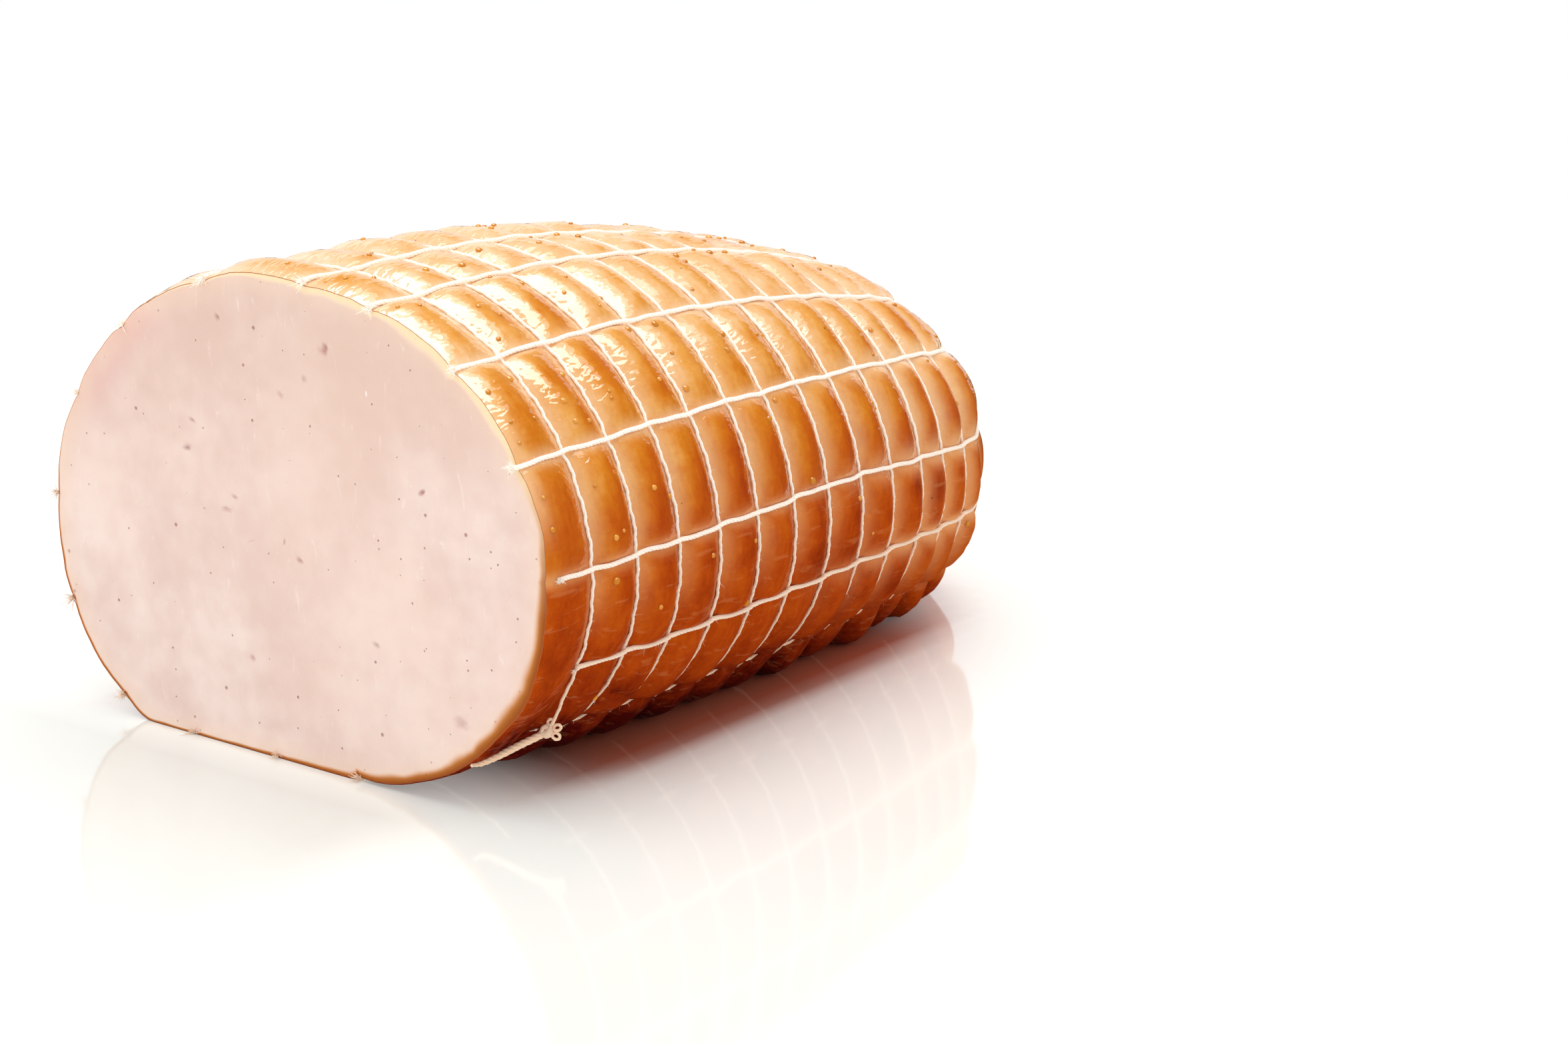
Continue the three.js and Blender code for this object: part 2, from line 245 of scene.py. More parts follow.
def pillow_heights():
    """Full height of each pillow by row and string, from the part's own seeded draws: state goes
    to state * 1664525 + 1013904223, and each draw is its share of 2^32."""
    state = RANDOM_SEED
    draws = []
    for _ in range(len(RINGS) * STRINGS):
        state = (state * 1664525 + 1013904223) % 4294967296
        draws.append(state / 4294967296)
    draws = np.array(draws).reshape(len(RINGS), STRINGS)
    along = along_at(RINGS)[:, None]
    strings = np.arange(STRINGS)[None]
    angle = string_angle(strings, along)
    next_angle = string_angle(strings + 1, along)
    underneath = smoothstep(-np.sin((angle + next_angle) / 2), *UNDERNEATH)
    own = blend(PILLOW_HEIGHT, FOOT_PILLOW_HEIGHT, underneath)
    width = np.linalg.norm(skin(angle, along) - skin(next_angle, along), axis=-1)
    span = (RINGS - ROW_STARTS)[:, None]
    room = np.minimum(1, span / FLAT_SPAN) * np.minimum(1, width / NARROW_SPAN)
    return own * (1 + PILLOW_VARIATION * (draws - 0.5)) * room


PILLOWS = pillow_heights()

# How the meat and the strings lie against each other
STRING_BULGE = 0.25  # share of a pillow's height that the meat keeps under a lengthwise string
CUT_BULGE = 0.72  # the same at the cut, where the net is slack
CUT_BULGE_REACH = 7.0  # mm from the cut over which it goes back to the other
GROOVE_FLOOR = 0.45  # mm above the skin of the solid, where the net lies deepest
PLUMPNESS = 1.35  # pillows as seen, against those of the solid
SHOULDER_PLUMPNESS = 0.55  # more where the net bunches up
SHOULDER = (150, 205)  # mm from the cut between which that comes in
LENGTHWISE_POWERS = (2.1, 1.1)  # power and edge of a pillow's swelling from ring to ring
CROSSWISE_POWERS = (3.4, 0.75)  # and from string to string
TILT_SHARE = 0.28  # how far a pillow may lean along the roast, as a share of its height
SIDE_TILT = 0.6  # lean round the roast, against that
LUMP_HEIGHT = 0.38  # uneven lumps on the pillows
LUMP_SIZE = 9.0
WRINKLE_HEIGHT = 0.13  # skin puckers that run along the strings of the net
WRINKLE_SIZE = (2.6, 7.5, 2.6)
FINE_WRINKLE_SIZE = (1.4, 4.5, 1.4)
FINE_WRINKLE_SHARE = 0.6
GROOVE_WRINKLE_SHARE = 0.25  # share of the puckers that is left next to a ring
CONTACT_SOFTNESS = 0.5  # how softly the meat meets the ground
RIM_DROP = 1.3  # mm that the crust rounds off at the cut
RIM_DROP_REACH = 4.0
LOW_RIM_DROP = 0.4  # share of it low down
RIM_DROP_HEIGHTS = (20, 90)  # mm above the ground between which the rest comes in
STRINGS_SHORT_OF_CUT = (5, 6)
FIRST_CREST = 1.7  # mm more on the upper pillows of the first row
FIRST_CREST_PLACE = 9.5  # mm from the cut
FIRST_CREST_REACH = 5.2
FIRST_CREST_HEIGHTS = (75, 112)  # mm above the ground between which it comes in


def pillow_tilts():
    """Lean of each pillow along and round the roast, seeded, from -1 to 1."""
    draw = np.random.default_rng(31)
    return draw.uniform(-1, 1, (2, len(RINGS), STRINGS))


TILTS = pillow_tilts()


def string_bulge(distance):
    """Share of the pillow that stays under a lengthwise string, more near the cut by
    exp(-(distance / reach)^2)."""
    return STRING_BULGE + (CUT_BULGE - STRING_BULGE) * nearness(distance, CUT_BULGE_REACH)


def plumpness(distance):
    """Factor on the pillows, larger on the shoulder of the closed end."""
    return PLUMPNESS + SHOULDER_PLUMPNESS * smoothstep(distance, *SHOULDER)


def rim_drop(point):
    """How far the crust is rounded off near the cut, less so low down: the drop times
    exp(-distance / reach)."""
    own = RIM_DROP * blend(LOW_RIM_DROP, 1, smoothstep(point[..., 2], *RIM_DROP_HEIGHTS))
    return own * np.exp(-np.maximum(point[..., 1], 0) / RIM_DROP_REACH)


def first_crest(point):
    """How much fuller the first row is high up: the crest times exp(-((y - place) / reach)^2)."""
    own = FIRST_CREST * smoothstep(point[..., 2], *FIRST_CREST_HEIGHTS)
    return own * nearness(point[..., 1] - FIRST_CREST_PLACE, FIRST_CREST_REACH)


def relief(row, string, along_share, round_share, point):
    """Height of the meat above the skin: the full pillow times the swelling both ways, with the
    share that bulges under the lengthwise strings, a lean to one side, lumps that fade out at the
    strings, and wrinkles that weaken at the rings. Next to a string the full height is the mean
    of the two pillows beside it. There is none past the last ring."""
    inside = row < len(RINGS)
    own_row = np.minimum(row, len(RINGS) - 1)
    beside = np.where(round_share < 0.5, (string - 1) % STRINGS, (string + 1) % STRINGS)
    full = PILLOWS[own_row, string]
    full = blend(full, (full + PILLOWS[own_row, beside]) / 2, np.abs(2 * round_share - 1) ** 3)
    lengthwise = swelling(along_share, *LENGTHWISE_POWERS)
    crosswise = swelling(round_share, *CROSSWISE_POWERS)
    nearest = np.where(round_share < 0.5, string, (string + 1) % STRINGS)
    no_string = (row == 0) & np.isin(nearest, STRINGS_SHORT_OF_CUT)
    kept = np.where(no_string, 1, string_bulge(point[..., 1]))
    body = plumpness(point[..., 1]) * lengthwise * (kept + (1 - kept) * crosswise)
    middle = lengthwise * crosswise
    lean_along = TILTS[0, own_row, string] * (2 * along_share - 1) * crosswise
    lean_round = TILTS[1, own_row, string] * (2 * round_share - 1) * crosswise
    lean = TILT_SHARE * (lean_along + SIDE_TILT * lean_round)
    height = (GROOVE_FLOOR + full * body * (1 + lean)) * inside
    height = height - rim_drop(point) + first_crest(point) * crosswise
    height = height + LUMP_HEIGHT * middle * inside * lumps(point, LUMP_SIZE, 11)
    wrinkles = lumps(point, WRINKLE_SIZE, 12) + FINE_WRINKLE_SHARE * lumps(point, FINE_WRINKLE_SIZE, 13)
    return height + WRINKLE_HEIGHT * blend(GROOVE_WRINKLE_SHARE, 1, lengthwise) * inside * wrinkles


def on_ground(points, least=0.0):
    """Points kept above a least height: that plus half of (h + hypot(h, softness)) of the height h
    above it."""
    lifted = points.copy()
    height = points[..., 2] - least
    lifted[..., 2] = least + (height + np.hypot(height, CONTACT_SOFTNESS)) / 2
    return lifted


# Making meshes

tuft_low, tuft_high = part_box("end_tuft")
roast_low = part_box("roast")[0]
POLE = skin(0.0, LENGTH)
SHIFT = np.array([(tuft_low.x + tuft_high.x) / 2 / MM - POLE[0], roast_low.y / MM, 0.0])


def shape(points, quads=None, triangles=None, **marks):
    """A surface: its points in mm, its faces as rows of point numbers, and a value a point."""
    quads = np.zeros((0, 4), int) if quads is None else quads
    triangles = np.zeros((0, 3), int) if triangles is None else triangles
    return {"points": points.reshape(-1, 3), "quads": quads, "triangles": triangles, "marks": marks}


def joined(shapes):
    """One surface from many: their points one after another, with the faces counted on."""
    starts = np.cumsum([0] + [len(one["points"]) for one in shapes])
    quads = np.concatenate([one["quads"] + start for one, start in zip(shapes, starts)])
    triangles = np.concatenate([one["triangles"] + start for one, start in zip(shapes, starts)])
    names = shapes[0]["marks"]
    marks = {name: np.concatenate([one["marks"][name] for one in shapes]) for name in names}
    return shape(np.concatenate([one["points"] for one in shapes]), quads, triangles, **marks)


def ring_quads(lines, next_lines, count):
    """Faces between closed lines of count points each, from the number of each line's first point
    and that of the line that follows it."""
    columns = np.arange(count)
    beside = (columns + 1) % count
    line, following = lines[:, None], next_lines[:, None]
    corners = [line + columns, line + beside, following + beside, following + columns]
    return np.stack(corners, -1).reshape(-1, 4)


def fan(line, count, tip, turned=False):
    """Triangles from a closed line of count points to a tip, turned over if asked."""
    columns = np.arange(count)
    beside = (columns + 1) % count
    first, second = (beside, columns) if turned else (columns, beside)
    return np.stack([line + first, line + second, np.full(count, tip)], -1)


def make_piece(name, surface, materials, nodes=(), sharp=None, second=None):
    """A piece in metres in the frame, smooth, with its marks as attributes. The faces for which
    second is 1 have the second material."""
    quads, triangles = surface["quads"], surface["triangles"]
    corners = np.concatenate([quads.ravel(), triangles.ravel()]).astype(np.int32)
    starts = np.concatenate([np.arange(len(quads)) * 4, len(quads) * 4 + np.arange(len(triangles)) * 3])
    mesh = bpy.data.meshes.new(name)
    mesh.vertices.add(len(surface["points"]))
    mesh.vertices.foreach_set("co", ((surface["points"] + SHIFT) * MM).astype(np.float32).ravel())
    mesh.loops.add(len(corners))
    mesh.loops.foreach_set("vertex_index", corners)
    mesh.polygons.add(len(starts))
    mesh.polygons.foreach_set("loop_start", starts.astype(np.int32))
    mesh.update(calc_edges=True)
    for mark, values in surface["marks"].items():
        layer = mesh.attributes.new(mark, "FLOAT", "POINT")
        layer.data.foreach_set("value", np.asarray(values, np.float32).ravel())
    for material in materials:
        mesh.materials.append(material)
    if second is not None:
        mesh.polygons.foreach_set("material_index", second.astype(np.int32))
    mesh.shade_smooth()
    if sharp is not None:
        mesh.set_sharp_from_angle(angle=math.radians(sharp))
    piece = bpy.data.objects.new(name, mesh)
    bpy.context.scene.collection.objects.link(piece)
    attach(piece, "root")
    if nodes:
        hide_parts(*nodes)
    return piece


END_CREASE = 0.5  # crease at the middle of a string's end, which gives it painted groove shade


def unit(vectors):
    """Vectors at length 1."""
    return vectors / np.maximum(np.linalg.norm(vectors, axis=-1, keepdims=True), 1e-9)


def strand(path, out, radius, sides=9, plies=3, twist=4.2, groove=0.2, closed=False):
    """A twisted string along a path: at each point a ring of points round the path, at the radius
    times 1 - groove * (1 - |cos(plies / 2 * (turn - 2 pi * distance / twist))|). The mark crease
    is 1 in the grooves between its plies. Ends are closed with a point, unless it is a loop."""
    if closed:
        tangent = unit(np.roll(path, -1, 0) - np.roll(path, 1, 0))
    else:
        tangent = unit(np.gradient(path, axis=0))
    normal = unit(out - (out * tangent).sum(-1, keepdims=True) * tangent)
    side = np.cross(tangent, normal)
    steps = np.linalg.norm(np.diff(path, axis=0), axis=1)
    distance = np.concatenate([[0], np.cumsum(steps)])
    if closed:
        whole = distance[-1] + np.linalg.norm(path[0] - path[-1])
        twist = whole / max(1, round(whole / twist))
    turn = TAU * np.arange(sides) / sides
    crease = 1 - np.abs(np.cos(plies / 2 * (turn[None] - TAU * distance[:, None] / twist)))
    reach = np.broadcast_to(radius, (len(path),))[:, None] * (1 - groove * crease)
    outward = (reach * np.cos(turn))[..., None] * normal[:, None]
    sideways = (reach * np.sin(turn))[..., None] * side[:, None]
    points = path[:, None] + outward + sideways
    count = len(path)
    rows = np.arange(count if closed else count - 1)
    quads = ring_quads(rows * sides, (rows + 1) % count * sides, sides)
    if closed:
        return shape(points, quads, crease=crease.ravel())
    final = (count - 1) * sides
    ends = np.concatenate([fan(0, sides, count * sides, turned=True), fan(final, sides, count * sides + 1)])
    points = np.concatenate([points.reshape(-1, 3), path[:1], path[-1:]])
    return shape(points, quads, ends, crease=np.concatenate([crease.ravel(), [END_CREASE] * 2]))


# The meat: crust and cut

COLUMNS_PER_MESH = 20
SHARE_WARP = 0.1  # rows and columns stand closer next to the strings
ROWS_PER_MESH = 14
LEAST_ROWS = 8
CLOSING_ROWS = 8
RIM_ROWS = [0.35, 0.8, 1.3, 1.9, 2.7, 3.8]  # mm inside the rim of the cut
CUT_ROWS = 52  # evenly from there to the middle

# Pores in the cut: mm across, mm up, radius in mm, and how dark they are
PORES = [
    (18.4, 117.6, 1.6, 0.9), (5.6, 58.8, 1.3, 0.8), (-21.4, 68.1, 1.1, 0.6), (-36.1, 83.3, 1.1, 0.7),
    (51.4, 84.2, 0.9, 0.9), (62.9, 24.2, 2.2, 0.35), (-30.4, 122.7, 0.8, 1.0), (-21.7, 121.8, 0.9, 1.0),
    (-33.6, 91.7, 0.8, 0.9), (10.3, 109.1, 0.8, 0.9), (1.6, 103.7, 0.8, 0.8), (-17.8, 72.1, 0.7, 0.6),
    (-12.9, 60.7, 0.6, 0.7), (0.3, 62.9, 0.6, 0.7), (-32.1, 97.6, 0.6, 0.6), (-62.0, 70.0, 0.9, 0.7),
    (-58.0, 31.0, 0.8, 0.6), (-14.0, 27.0, 0.7, 0.7), (33.0, 40.0, 0.8, 0.6), (-47.0, 52.0, 0.7, 0.8),
]  # fmt: skip
PORE_DEPTH = 0.8
PORE_RAGGEDNESS = 0.35  # share by which a pore's edge goes in and out
PORE_FLATNESS = 1.25  # width of a pore against its height
RAGGED_SIZE = 1.3
RIPPLE_HEIGHT = 0.06  # marks of the knife
RIPPLE_SIZE = (26.0, 9.0, 5.0)
RIPPLE_RIM = 3.0  # mm from the rim over which they come in
DEEP_INSIDE = 60.0  # mm from the rim that the middle of the cut counts as
CRUST_LOWNESS = (-0.75, 0.65)  # how far the crust looks down, between which its lowness goes from 0 to 1
CRUST_CORNER = 48  # degrees between faces from which an edge is sharp, as the rim of the cut is


def mesh_shares(count):
    """Shares from 0 on, closer next to the strings: t - warp * sin(2 pi t)."""
    share = np.arange(count) / count
    return share - SHARE_WARP * np.sin(TAU * share)


def grid_rows():
    """Row number, share of the way through the row, and distance, for each line of the crust."""
    rows, shares, distances = [], [], []
    for row, (start, end) in enumerate(zip(ROW_STARTS, RINGS)):
        share = mesh_shares(max(LEAST_ROWS, round(ROWS_PER_MESH * (end - start) / RING_PITCH)))
        if row == 0:
            share = np.concatenate([[CUT_ROW_START], share[share > CUT_ROW_START + 0.02]])
            way = (share - CUT_ROW_START) / (1 - CUT_ROW_START)
        else:
            way = share
        rows.append(np.full(len(share), row))
        shares.append(share)
        distances.append(blend(start, end, way))
    rows.append(np.full(CLOSING_ROWS, len(RINGS)))
    shares.append(np.zeros(CLOSING_ROWS))
    distances.append(blend(RINGS[-1], FLANK_LENGTH, np.arange(CLOSING_ROWS) / CLOSING_ROWS))
    return np.concatenate(rows), np.concatenate(shares), np.concatenate(distances)


def cut_points(rim):
    """The cut as rows that shrink from the rim towards its middle, dented by
    PORE_DEPTH * (1 - (d / radius)^2)^2 at a distance d from a pore, and less by a pore of under
    1 mm; with the middle, each point's distance from the rim, and how dark the pores make it."""
    middle = rim.mean(0)
    reach = np.linalg.norm(rim - middle, axis=-1)
    shrink_near = 1 - np.array(RIM_ROWS)[:, None] / reach[None]
    even = np.arange(1, CUT_ROWS) / CUT_ROWS
    shrink_even = shrink_near[-1][None] * (1 - even[:, None])
    shrink = np.concatenate([shrink_near, shrink_even])
    cut = middle + (rim - middle)[None] * shrink[..., None]
    from_rim = (1 - shrink) * reach[None]
    pore = np.zeros(shrink.shape)
    dent = np.zeros(shrink.shape)
    for across, up, radius, darkness in PORES:
        ragged = radius * (1 + PORE_RAGGEDNESS * lumps(cut, RAGGED_SIZE, 41))
        away = np.hypot(cut[..., 0] - across, PORE_FLATNESS * (cut[..., 2] - up))
        fade = np.clip(1 - away**2 / ragged**2, 0, 1)
        pore = np.maximum(pore, darkness * np.sqrt(fade))
        dent = np.maximum(dent, PORE_DEPTH * min(1, radius) * fade**2)
    inside = smoothstep(from_rim, 0, RIPPLE_RIM)
    cut[..., 1] += dent + RIPPLE_HEIGHT * inside * lumps(cut, RIPPLE_SIZE, 42)
    return cut, middle, from_rim, pore


def meat_surface():
    """The crust as a grid, rows from the cut to the pole and columns round, each point at the
    relief's height above the skin; then the rows of the cut. With it comes a number for each face,
    1 on the cut and 0 on the crust."""
    row, along_share, distance = [values[:, None] for values in grid_rows()]
    string = np.repeat(np.arange(STRINGS), COLUMNS_PER_MESH)[None]
    round_share = np.tile(mesh_shares(COLUMNS_PER_MESH), STRINGS)[None]
    along = along_at(distance)
    angle = blend(string_angle(string, along), string_angle(string + 1, along), round_share)
    base = skin(angle, along + 0 * angle)
    normal = skin_normal(angle, along + 0 * angle)
    height = relief(row, string, along_share, round_share, base)
    crust = on_ground(base + normal * height[..., None])
    crust[0, :, 1] = 0
    cut, middle, from_rim, pore = cut_points(crust[0])

    count_rows, count = angle.shape
    crust_lines = np.arange(count_rows) * count
    cut_lines = np.concatenate([[0], (count_rows + np.arange(len(cut))) * count])
    points = np.concatenate([crust.reshape(-1, 3), cut.reshape(-1, 3), [middle, POLE]])
    centre, pole = len(points) - 2, len(points) - 1
    crust_quads = ring_quads(crust_lines[:-1], crust_lines[1:], count)
    cut_quads = ring_quads(cut_lines[:-1], cut_lines[1:], count)[:, [0, 3, 2, 1]]
    cut_middle = fan(cut_lines[-1], count, centre, turned=True)
    crust_pole = fan(crust_lines[-1], count, pole)

    up = normal[..., 2]
    tone, groove = crust_marks(row, string, along_share, round_share, base, up, distance)
    on_crust = np.zeros(tone.size)
    on_cut = np.zeros(pore.size + 2)
    marks = {
        # the browning mark also holds painted shade and light: darker far sides and lighter near sides of the
        # pillows, and a paler top
        "browning": np.concatenate([tone.ravel(), on_cut]),
        "groove": np.concatenate([groove.ravel(), on_cut]),
        "from_rim": np.concatenate([on_crust, from_rim.ravel(), [DEEP_INSIDE] * 2]),
        "pore": np.concatenate([on_crust, pore.ravel(), [0, 0]]),
        "lowness": np.concatenate([smoothstep(-up, *CRUST_LOWNESS).ravel(), on_cut]),
    }
    quads = np.concatenate([crust_quads, cut_quads])
    surface = shape(points, quads, np.concatenate([cut_middle, crust_pole]), **marks)
    kinds = zip((0, 1, 1, 0), (crust_quads, cut_quads, cut_middle, crust_pole))
    return surface, np.concatenate([np.full(len(faces), kind) for kind, faces in kinds])


# How brown the crust is, from 0 to 1, with painted shade and light among its parts: shares that
# add up, or are taken off again. A facing is how far up the crust looks, from -1 to 1, and a place
# is in mm from the cut. Each of them is a pair of numbers between which something comes in.
TOP_TONE = 0.25
LOW_TONE = 0.53  # more towards the underside
LOW_FACING = (1.0, -0.4)
UNDER_TONE = 0.2  # and again more on what faces the ground
UNDER_FACING = (-0.5, -0.95)
MIDDLE_POWERS = (2.2, 3)  # powers of the swelling that fades the next three out beside the net
PILLOW_SIDE_SHADE = 0.26  # painted shade on a pillow's far side and painted light on its near one
FAR_SIDE = (0.1, 0.8)  # shares of its length between which that changes
NEAR_SIDE = 0.4  # share of it that is taken off all over
SIDES_FACING = (0.05, -0.25)  # between which most of that fades out low down
SIDES_LOSS = 0.85
BLOTCH_TONE = 0.1
BLOTCH_SIZES = (15.0, 6.0)
FINE_BLOTCH_SHARE = 0.5
BLOTCH_HEIGHTS = (0.15, 0.9)  # of the lumps, between which a blotch comes in
FIRST_BLOTCH_SHARE = 0.3  # of the first row
OWN_TONE = 0.035  # by which whole pillows differ
LUMP_TONE = 0.05
LUMP_TONE_SIZES = (4.0, 30.0)
TOP_GLARE_TONE = -0.05  # painted glare: paler on top, away from the cut
RIDGE_FACING, RIDGE_PLACE = (0.8, 1.0), (12, 40)
FIRST_ROWS_TONE = -0.1  # on top, close to the cut, until it goes again at its place
FIRST_ROWS_FACING, FIRST_ROWS_PLACE = (0.6, 0.9), (12, 34)
FIRST_FLANK_TONE = 0.04  # on the side of the first row
FIRST_FLANK_FACING, FIRST_FLANK_PLACE = (-0.1, 0.3), (2, 9)
CLOSED_END_TONE = 0.1
CLOSED_END_FACING, CLOSED_END_PLACE = (-0.3, 0.1), (110, 190)
CLOSED_END_LOW_TONE = -0.1
CLOSED_END_LOW_PLACE = (130, 210)
GROOVE_TONE = -0.1
LOW_RIM_TONE = -0.04
LOW_RIM_REACH = 2.2

# How pale it is beside the strings, and over how many mm
PAST_RING_PALE = (0.8, 3.2)
BEFORE_RING_PALE = 0.85
BEFORE_RING_REACH = (1.6, 4.6)  # on the side and on top
BEFORE_RING_FACING = (0.45, 0.75)  # between which the one becomes the other
BEFORE_LOW_SHARE = 0.2  # of the paleness before a ring, on the underside
BEFORE_LOW_FACING = (-0.6, -0.1)
SIDEWAYS_LOSS = 0.6  # of the same, where the crust looks sideways
SIDEWAYS_FACING, SIDEWAYS_REACH = 0.12, 0.16
BESIDE_STRING_PALE = (0.8, 2.0)
UPPER_FACING = (-0.35, 0.05)  # between which it is pale past a ring and beside a string
BUNCHED_PALE = (1.25, 3.2)
BUNCHED_FACING, BUNCHED_PLACE = (-0.75, -0.3), (100, 190)
BUNCHED_STRING_SHARE = 0.8  # at which the distance from a lengthwise string counts there
BESIDE_CUT_PALE = (0.8, 3.0)
BESIDE_CUT_FACING = (0.1, 0.45)
USUAL_MESH = 30.0  # mm from string to string
ROW_PAST_ALL = 20.0  # mm that count as the distance to a ring where there is none


def string_paleness(row, along_share, round_share, up, distance):
    """How far the net kept the smoke off, by the distance from the twine and by how far the crust
    faces up: past a ring, before the next one, and beside a lengthwise string, each as
    share * exp(-(d / reach)^2), and most widely where the net bunches up towards the closed end."""
    row_length = np.append(RINGS - ROW_STARTS, ROW_PAST_ALL)[row]
    to_ring = (1 - along_share) * row_length
    past_ring = np.where(row == 0, ROW_PAST_ALL, along_share * row_length)
    before_ring = np.where(row == 0, to_ring / (1 - CUT_ROW_START), to_ring)
    from_string = np.minimum(round_share, 1 - round_share) * USUAL_MESH + 0 * up
    upper = smoothstep(up, *UPPER_FACING)
    sideways = SIDEWAYS_LOSS * nearness(up - SIDEWAYS_FACING, SIDEWAYS_REACH)
    flank = blend(BEFORE_LOW_SHARE, 1, smoothstep(up, *BEFORE_LOW_FACING)) * (1 - sideways)
    before_reach = blend(*BEFORE_RING_REACH, smoothstep(up, *BEFORE_RING_FACING))
    past = PAST_RING_PALE[0] * upper * nearness(past_ring, PAST_RING_PALE[1])
    before = BEFORE_RING_PALE * flank * nearness(before_ring, before_reach)
    beside = BESIDE_STRING_PALE[0] * upper * nearness(from_string, BESIDE_STRING_PALE[1])
    closed_end = smoothstep(distance, *BUNCHED_PLACE)
    bunched = BUNCHED_PALE[0] * closed_end * smoothstep(up, *BUNCHED_FACING)
    nearest_twine = np.minimum(np.minimum(past_ring, before_ring), BUNCHED_STRING_SHARE * from_string)
    bunched = bunched * nearness(nearest_twine, BUNCHED_PALE[1])
    return np.maximum(np.maximum(past, before), np.maximum(beside, bunched))


def crust_marks(row, string, along_share, round_share, base, up, distance):
    """How brown the crust is, and how pale beside the strings and the cut. Browning grows from the top
    to the underside, high up each pillow has painted shade on its far side and painted light on its
    near side, and it varies in lumps."""
    groove = string_paleness(row, along_share, round_share, up, distance)
    low = smoothstep(up, *LOW_FACING)
    middle = swelling(along_share, MIDDLE_POWERS[0]) * swelling(round_share, MIDDLE_POWERS[1])
    # Painted shade and light: darker towards each pillow's far side and lighter on its near side, high up
    sides = smoothstep(along_share, *FAR_SIDE) - NEAR_SIDE
    sides = sides * (1 - SIDES_LOSS * smoothstep(up, *SIDES_FACING))
    coarse, fine = [lumps(base, size, seed) for size, seed in zip(BLOTCH_SIZES, (21, 22))]
    blotch = smoothstep(coarse + FINE_BLOTCH_SHARE * fine, *BLOTCH_HEIGHTS)
    blotch = blotch * np.where(row == 0, FIRST_BLOTCH_SHARE, 1)
    own = np.random.default_rng(23).uniform(-1, 1, (len(RINGS) + 1, STRINGS))[row, string]
    tone = TOP_TONE + LOW_TONE * low + UNDER_TONE * smoothstep(up, *UNDER_FACING)
    tone = tone + middle * (PILLOW_SIDE_SHADE * sides + BLOTCH_TONE * blotch + OWN_TONE * own)
    small, large = [lumps(base, size, seed) for size, seed in zip(LUMP_TONE_SIZES, (24, 25))]
    tone = tone + LUMP_TONE * (small + large)
    # Painted glare: the very top of the crust is paler
    tone = tone + TOP_GLARE_TONE * smoothstep(up, *RIDGE_FACING) * smoothstep(distance, *RIDGE_PLACE)
    first_rows = 1 - smoothstep(distance, *FIRST_ROWS_PLACE)
    tone = tone + FIRST_ROWS_TONE * smoothstep(up, *FIRST_ROWS_FACING) * first_rows
    first_row = (row == 0) * smoothstep(distance, *FIRST_FLANK_PLACE)
    tone = tone + FIRST_FLANK_TONE * first_row * smoothstep(up, *FIRST_FLANK_FACING)
    closed_end = middle * smoothstep(distance, *CLOSED_END_PLACE)
    tone = tone + CLOSED_END_TONE * closed_end * smoothstep(up, *CLOSED_END_FACING)
    tone = tone + CLOSED_END_LOW_TONE * low * smoothstep(distance, *CLOSED_END_LOW_PLACE)
    tone = tone + GROOVE_TONE * groove + LOW_RIM_TONE * low * np.exp(-distance / LOW_RIM_REACH)
    pale, reach = BESIDE_CUT_PALE
    beside_cut = pale * smoothstep(up, *BESIDE_CUT_FACING) * nearness(distance, reach)
    return np.clip(tone, 0, 1), np.maximum(groove, beside_cut)


# The net

STRING_RADIUS = 0.7
THIN_STRINGS = {6: 0.62}  # radius of a string that is half buried, against the others
RING_RADIUS = 0.48
STRING_REST = 1.35  # middle of a lengthwise string above the meat's groove
RING_REST = 1.1
BURIED_STRINGS = {5: 0.4, 6: 1.5}  # mm deeper where the pillows close over a string
BURIED_AT_RING = 0.15  # share of that at a ring, which lifts the string
LIFT_POWER = 0.2  # how closely it is lifted at the ring alone
CROSSING_RISE = 0.5  # a lengthwise string passes over the rings
CROSSING_DIP = 0.3
CROSSING_REACH = 2.0
STRING_STEP = 0.56
STRING_OVERRUN = 1.5  # mm that a lengthwise string goes on past the last ring, under the tuft
SWAY_STEP = 0.01  # radians either way, over which the direction of a sway is taken
STRING_SWAYS = [(0.24, 34.6, 1.7), (0.1, 11.0, 1.0)]  # mm aside, mm a sway, and turn for each string
RING_STEP = 0.72
RING_CORNERS = 1600  # places round a ring at which its length is measured
RING_WAVE = 9.5  # about how many mm a wave of a ring is long
WAVE_ASIDE = 0.22  # mm
FINE_WAVE_ASIDE = 0.14
FINE_WAVES = 2.7  # fine waves to one of the others
RING_PLIES = {"twist": 4.8, "groove": 0.3}
STRING_STARTS = {3: -1.6, 4: 4.2, 5: FIRST_RING - 1.2, 6: FIRST_RING + 3}  # others reach the cut
END_GAP = 0.2
OVERHANG_STEPS = 4  # of a string that stands out past the cut
OVERHANG_BEND = -0.3  # mm towards +X for each square mm past the cut
USUAL_FRAY = (34, 0.8, 3.2)  # fibres at the cut end of a string, their spread, and their length in mm
WIDE_FRAY = (34, 0.9, 3.4)
SPARSE_FRAY = (3, 0.7, 2.6)
FRAYS = {3: (80, 0.9, 1.9), 4: (70, 0.8, 1.5), 5: SPARSE_FRAY, 6: SPARSE_FRAY, 11: WIDE_FRAY, 12: WIDE_FRAY}
FRAY_RADIUS = 0.2
FUZZ_RADIUS = 0.055
STRING_FUZZ = 9  # steps of a string for each stray fibre
RING_FUZZ = 12
FIBRE_ROOT = 0.7  # share of the string's radius at which a fibre starts


def crossing_share(distance):
    """1 where a lengthwise string crosses a ring, fading as exp(-(d / reach)^2) either way."""
    gaps = np.abs(distance[:, None] - RINGS[None]).min(1)
    return nearness(gaps, CROSSING_REACH)


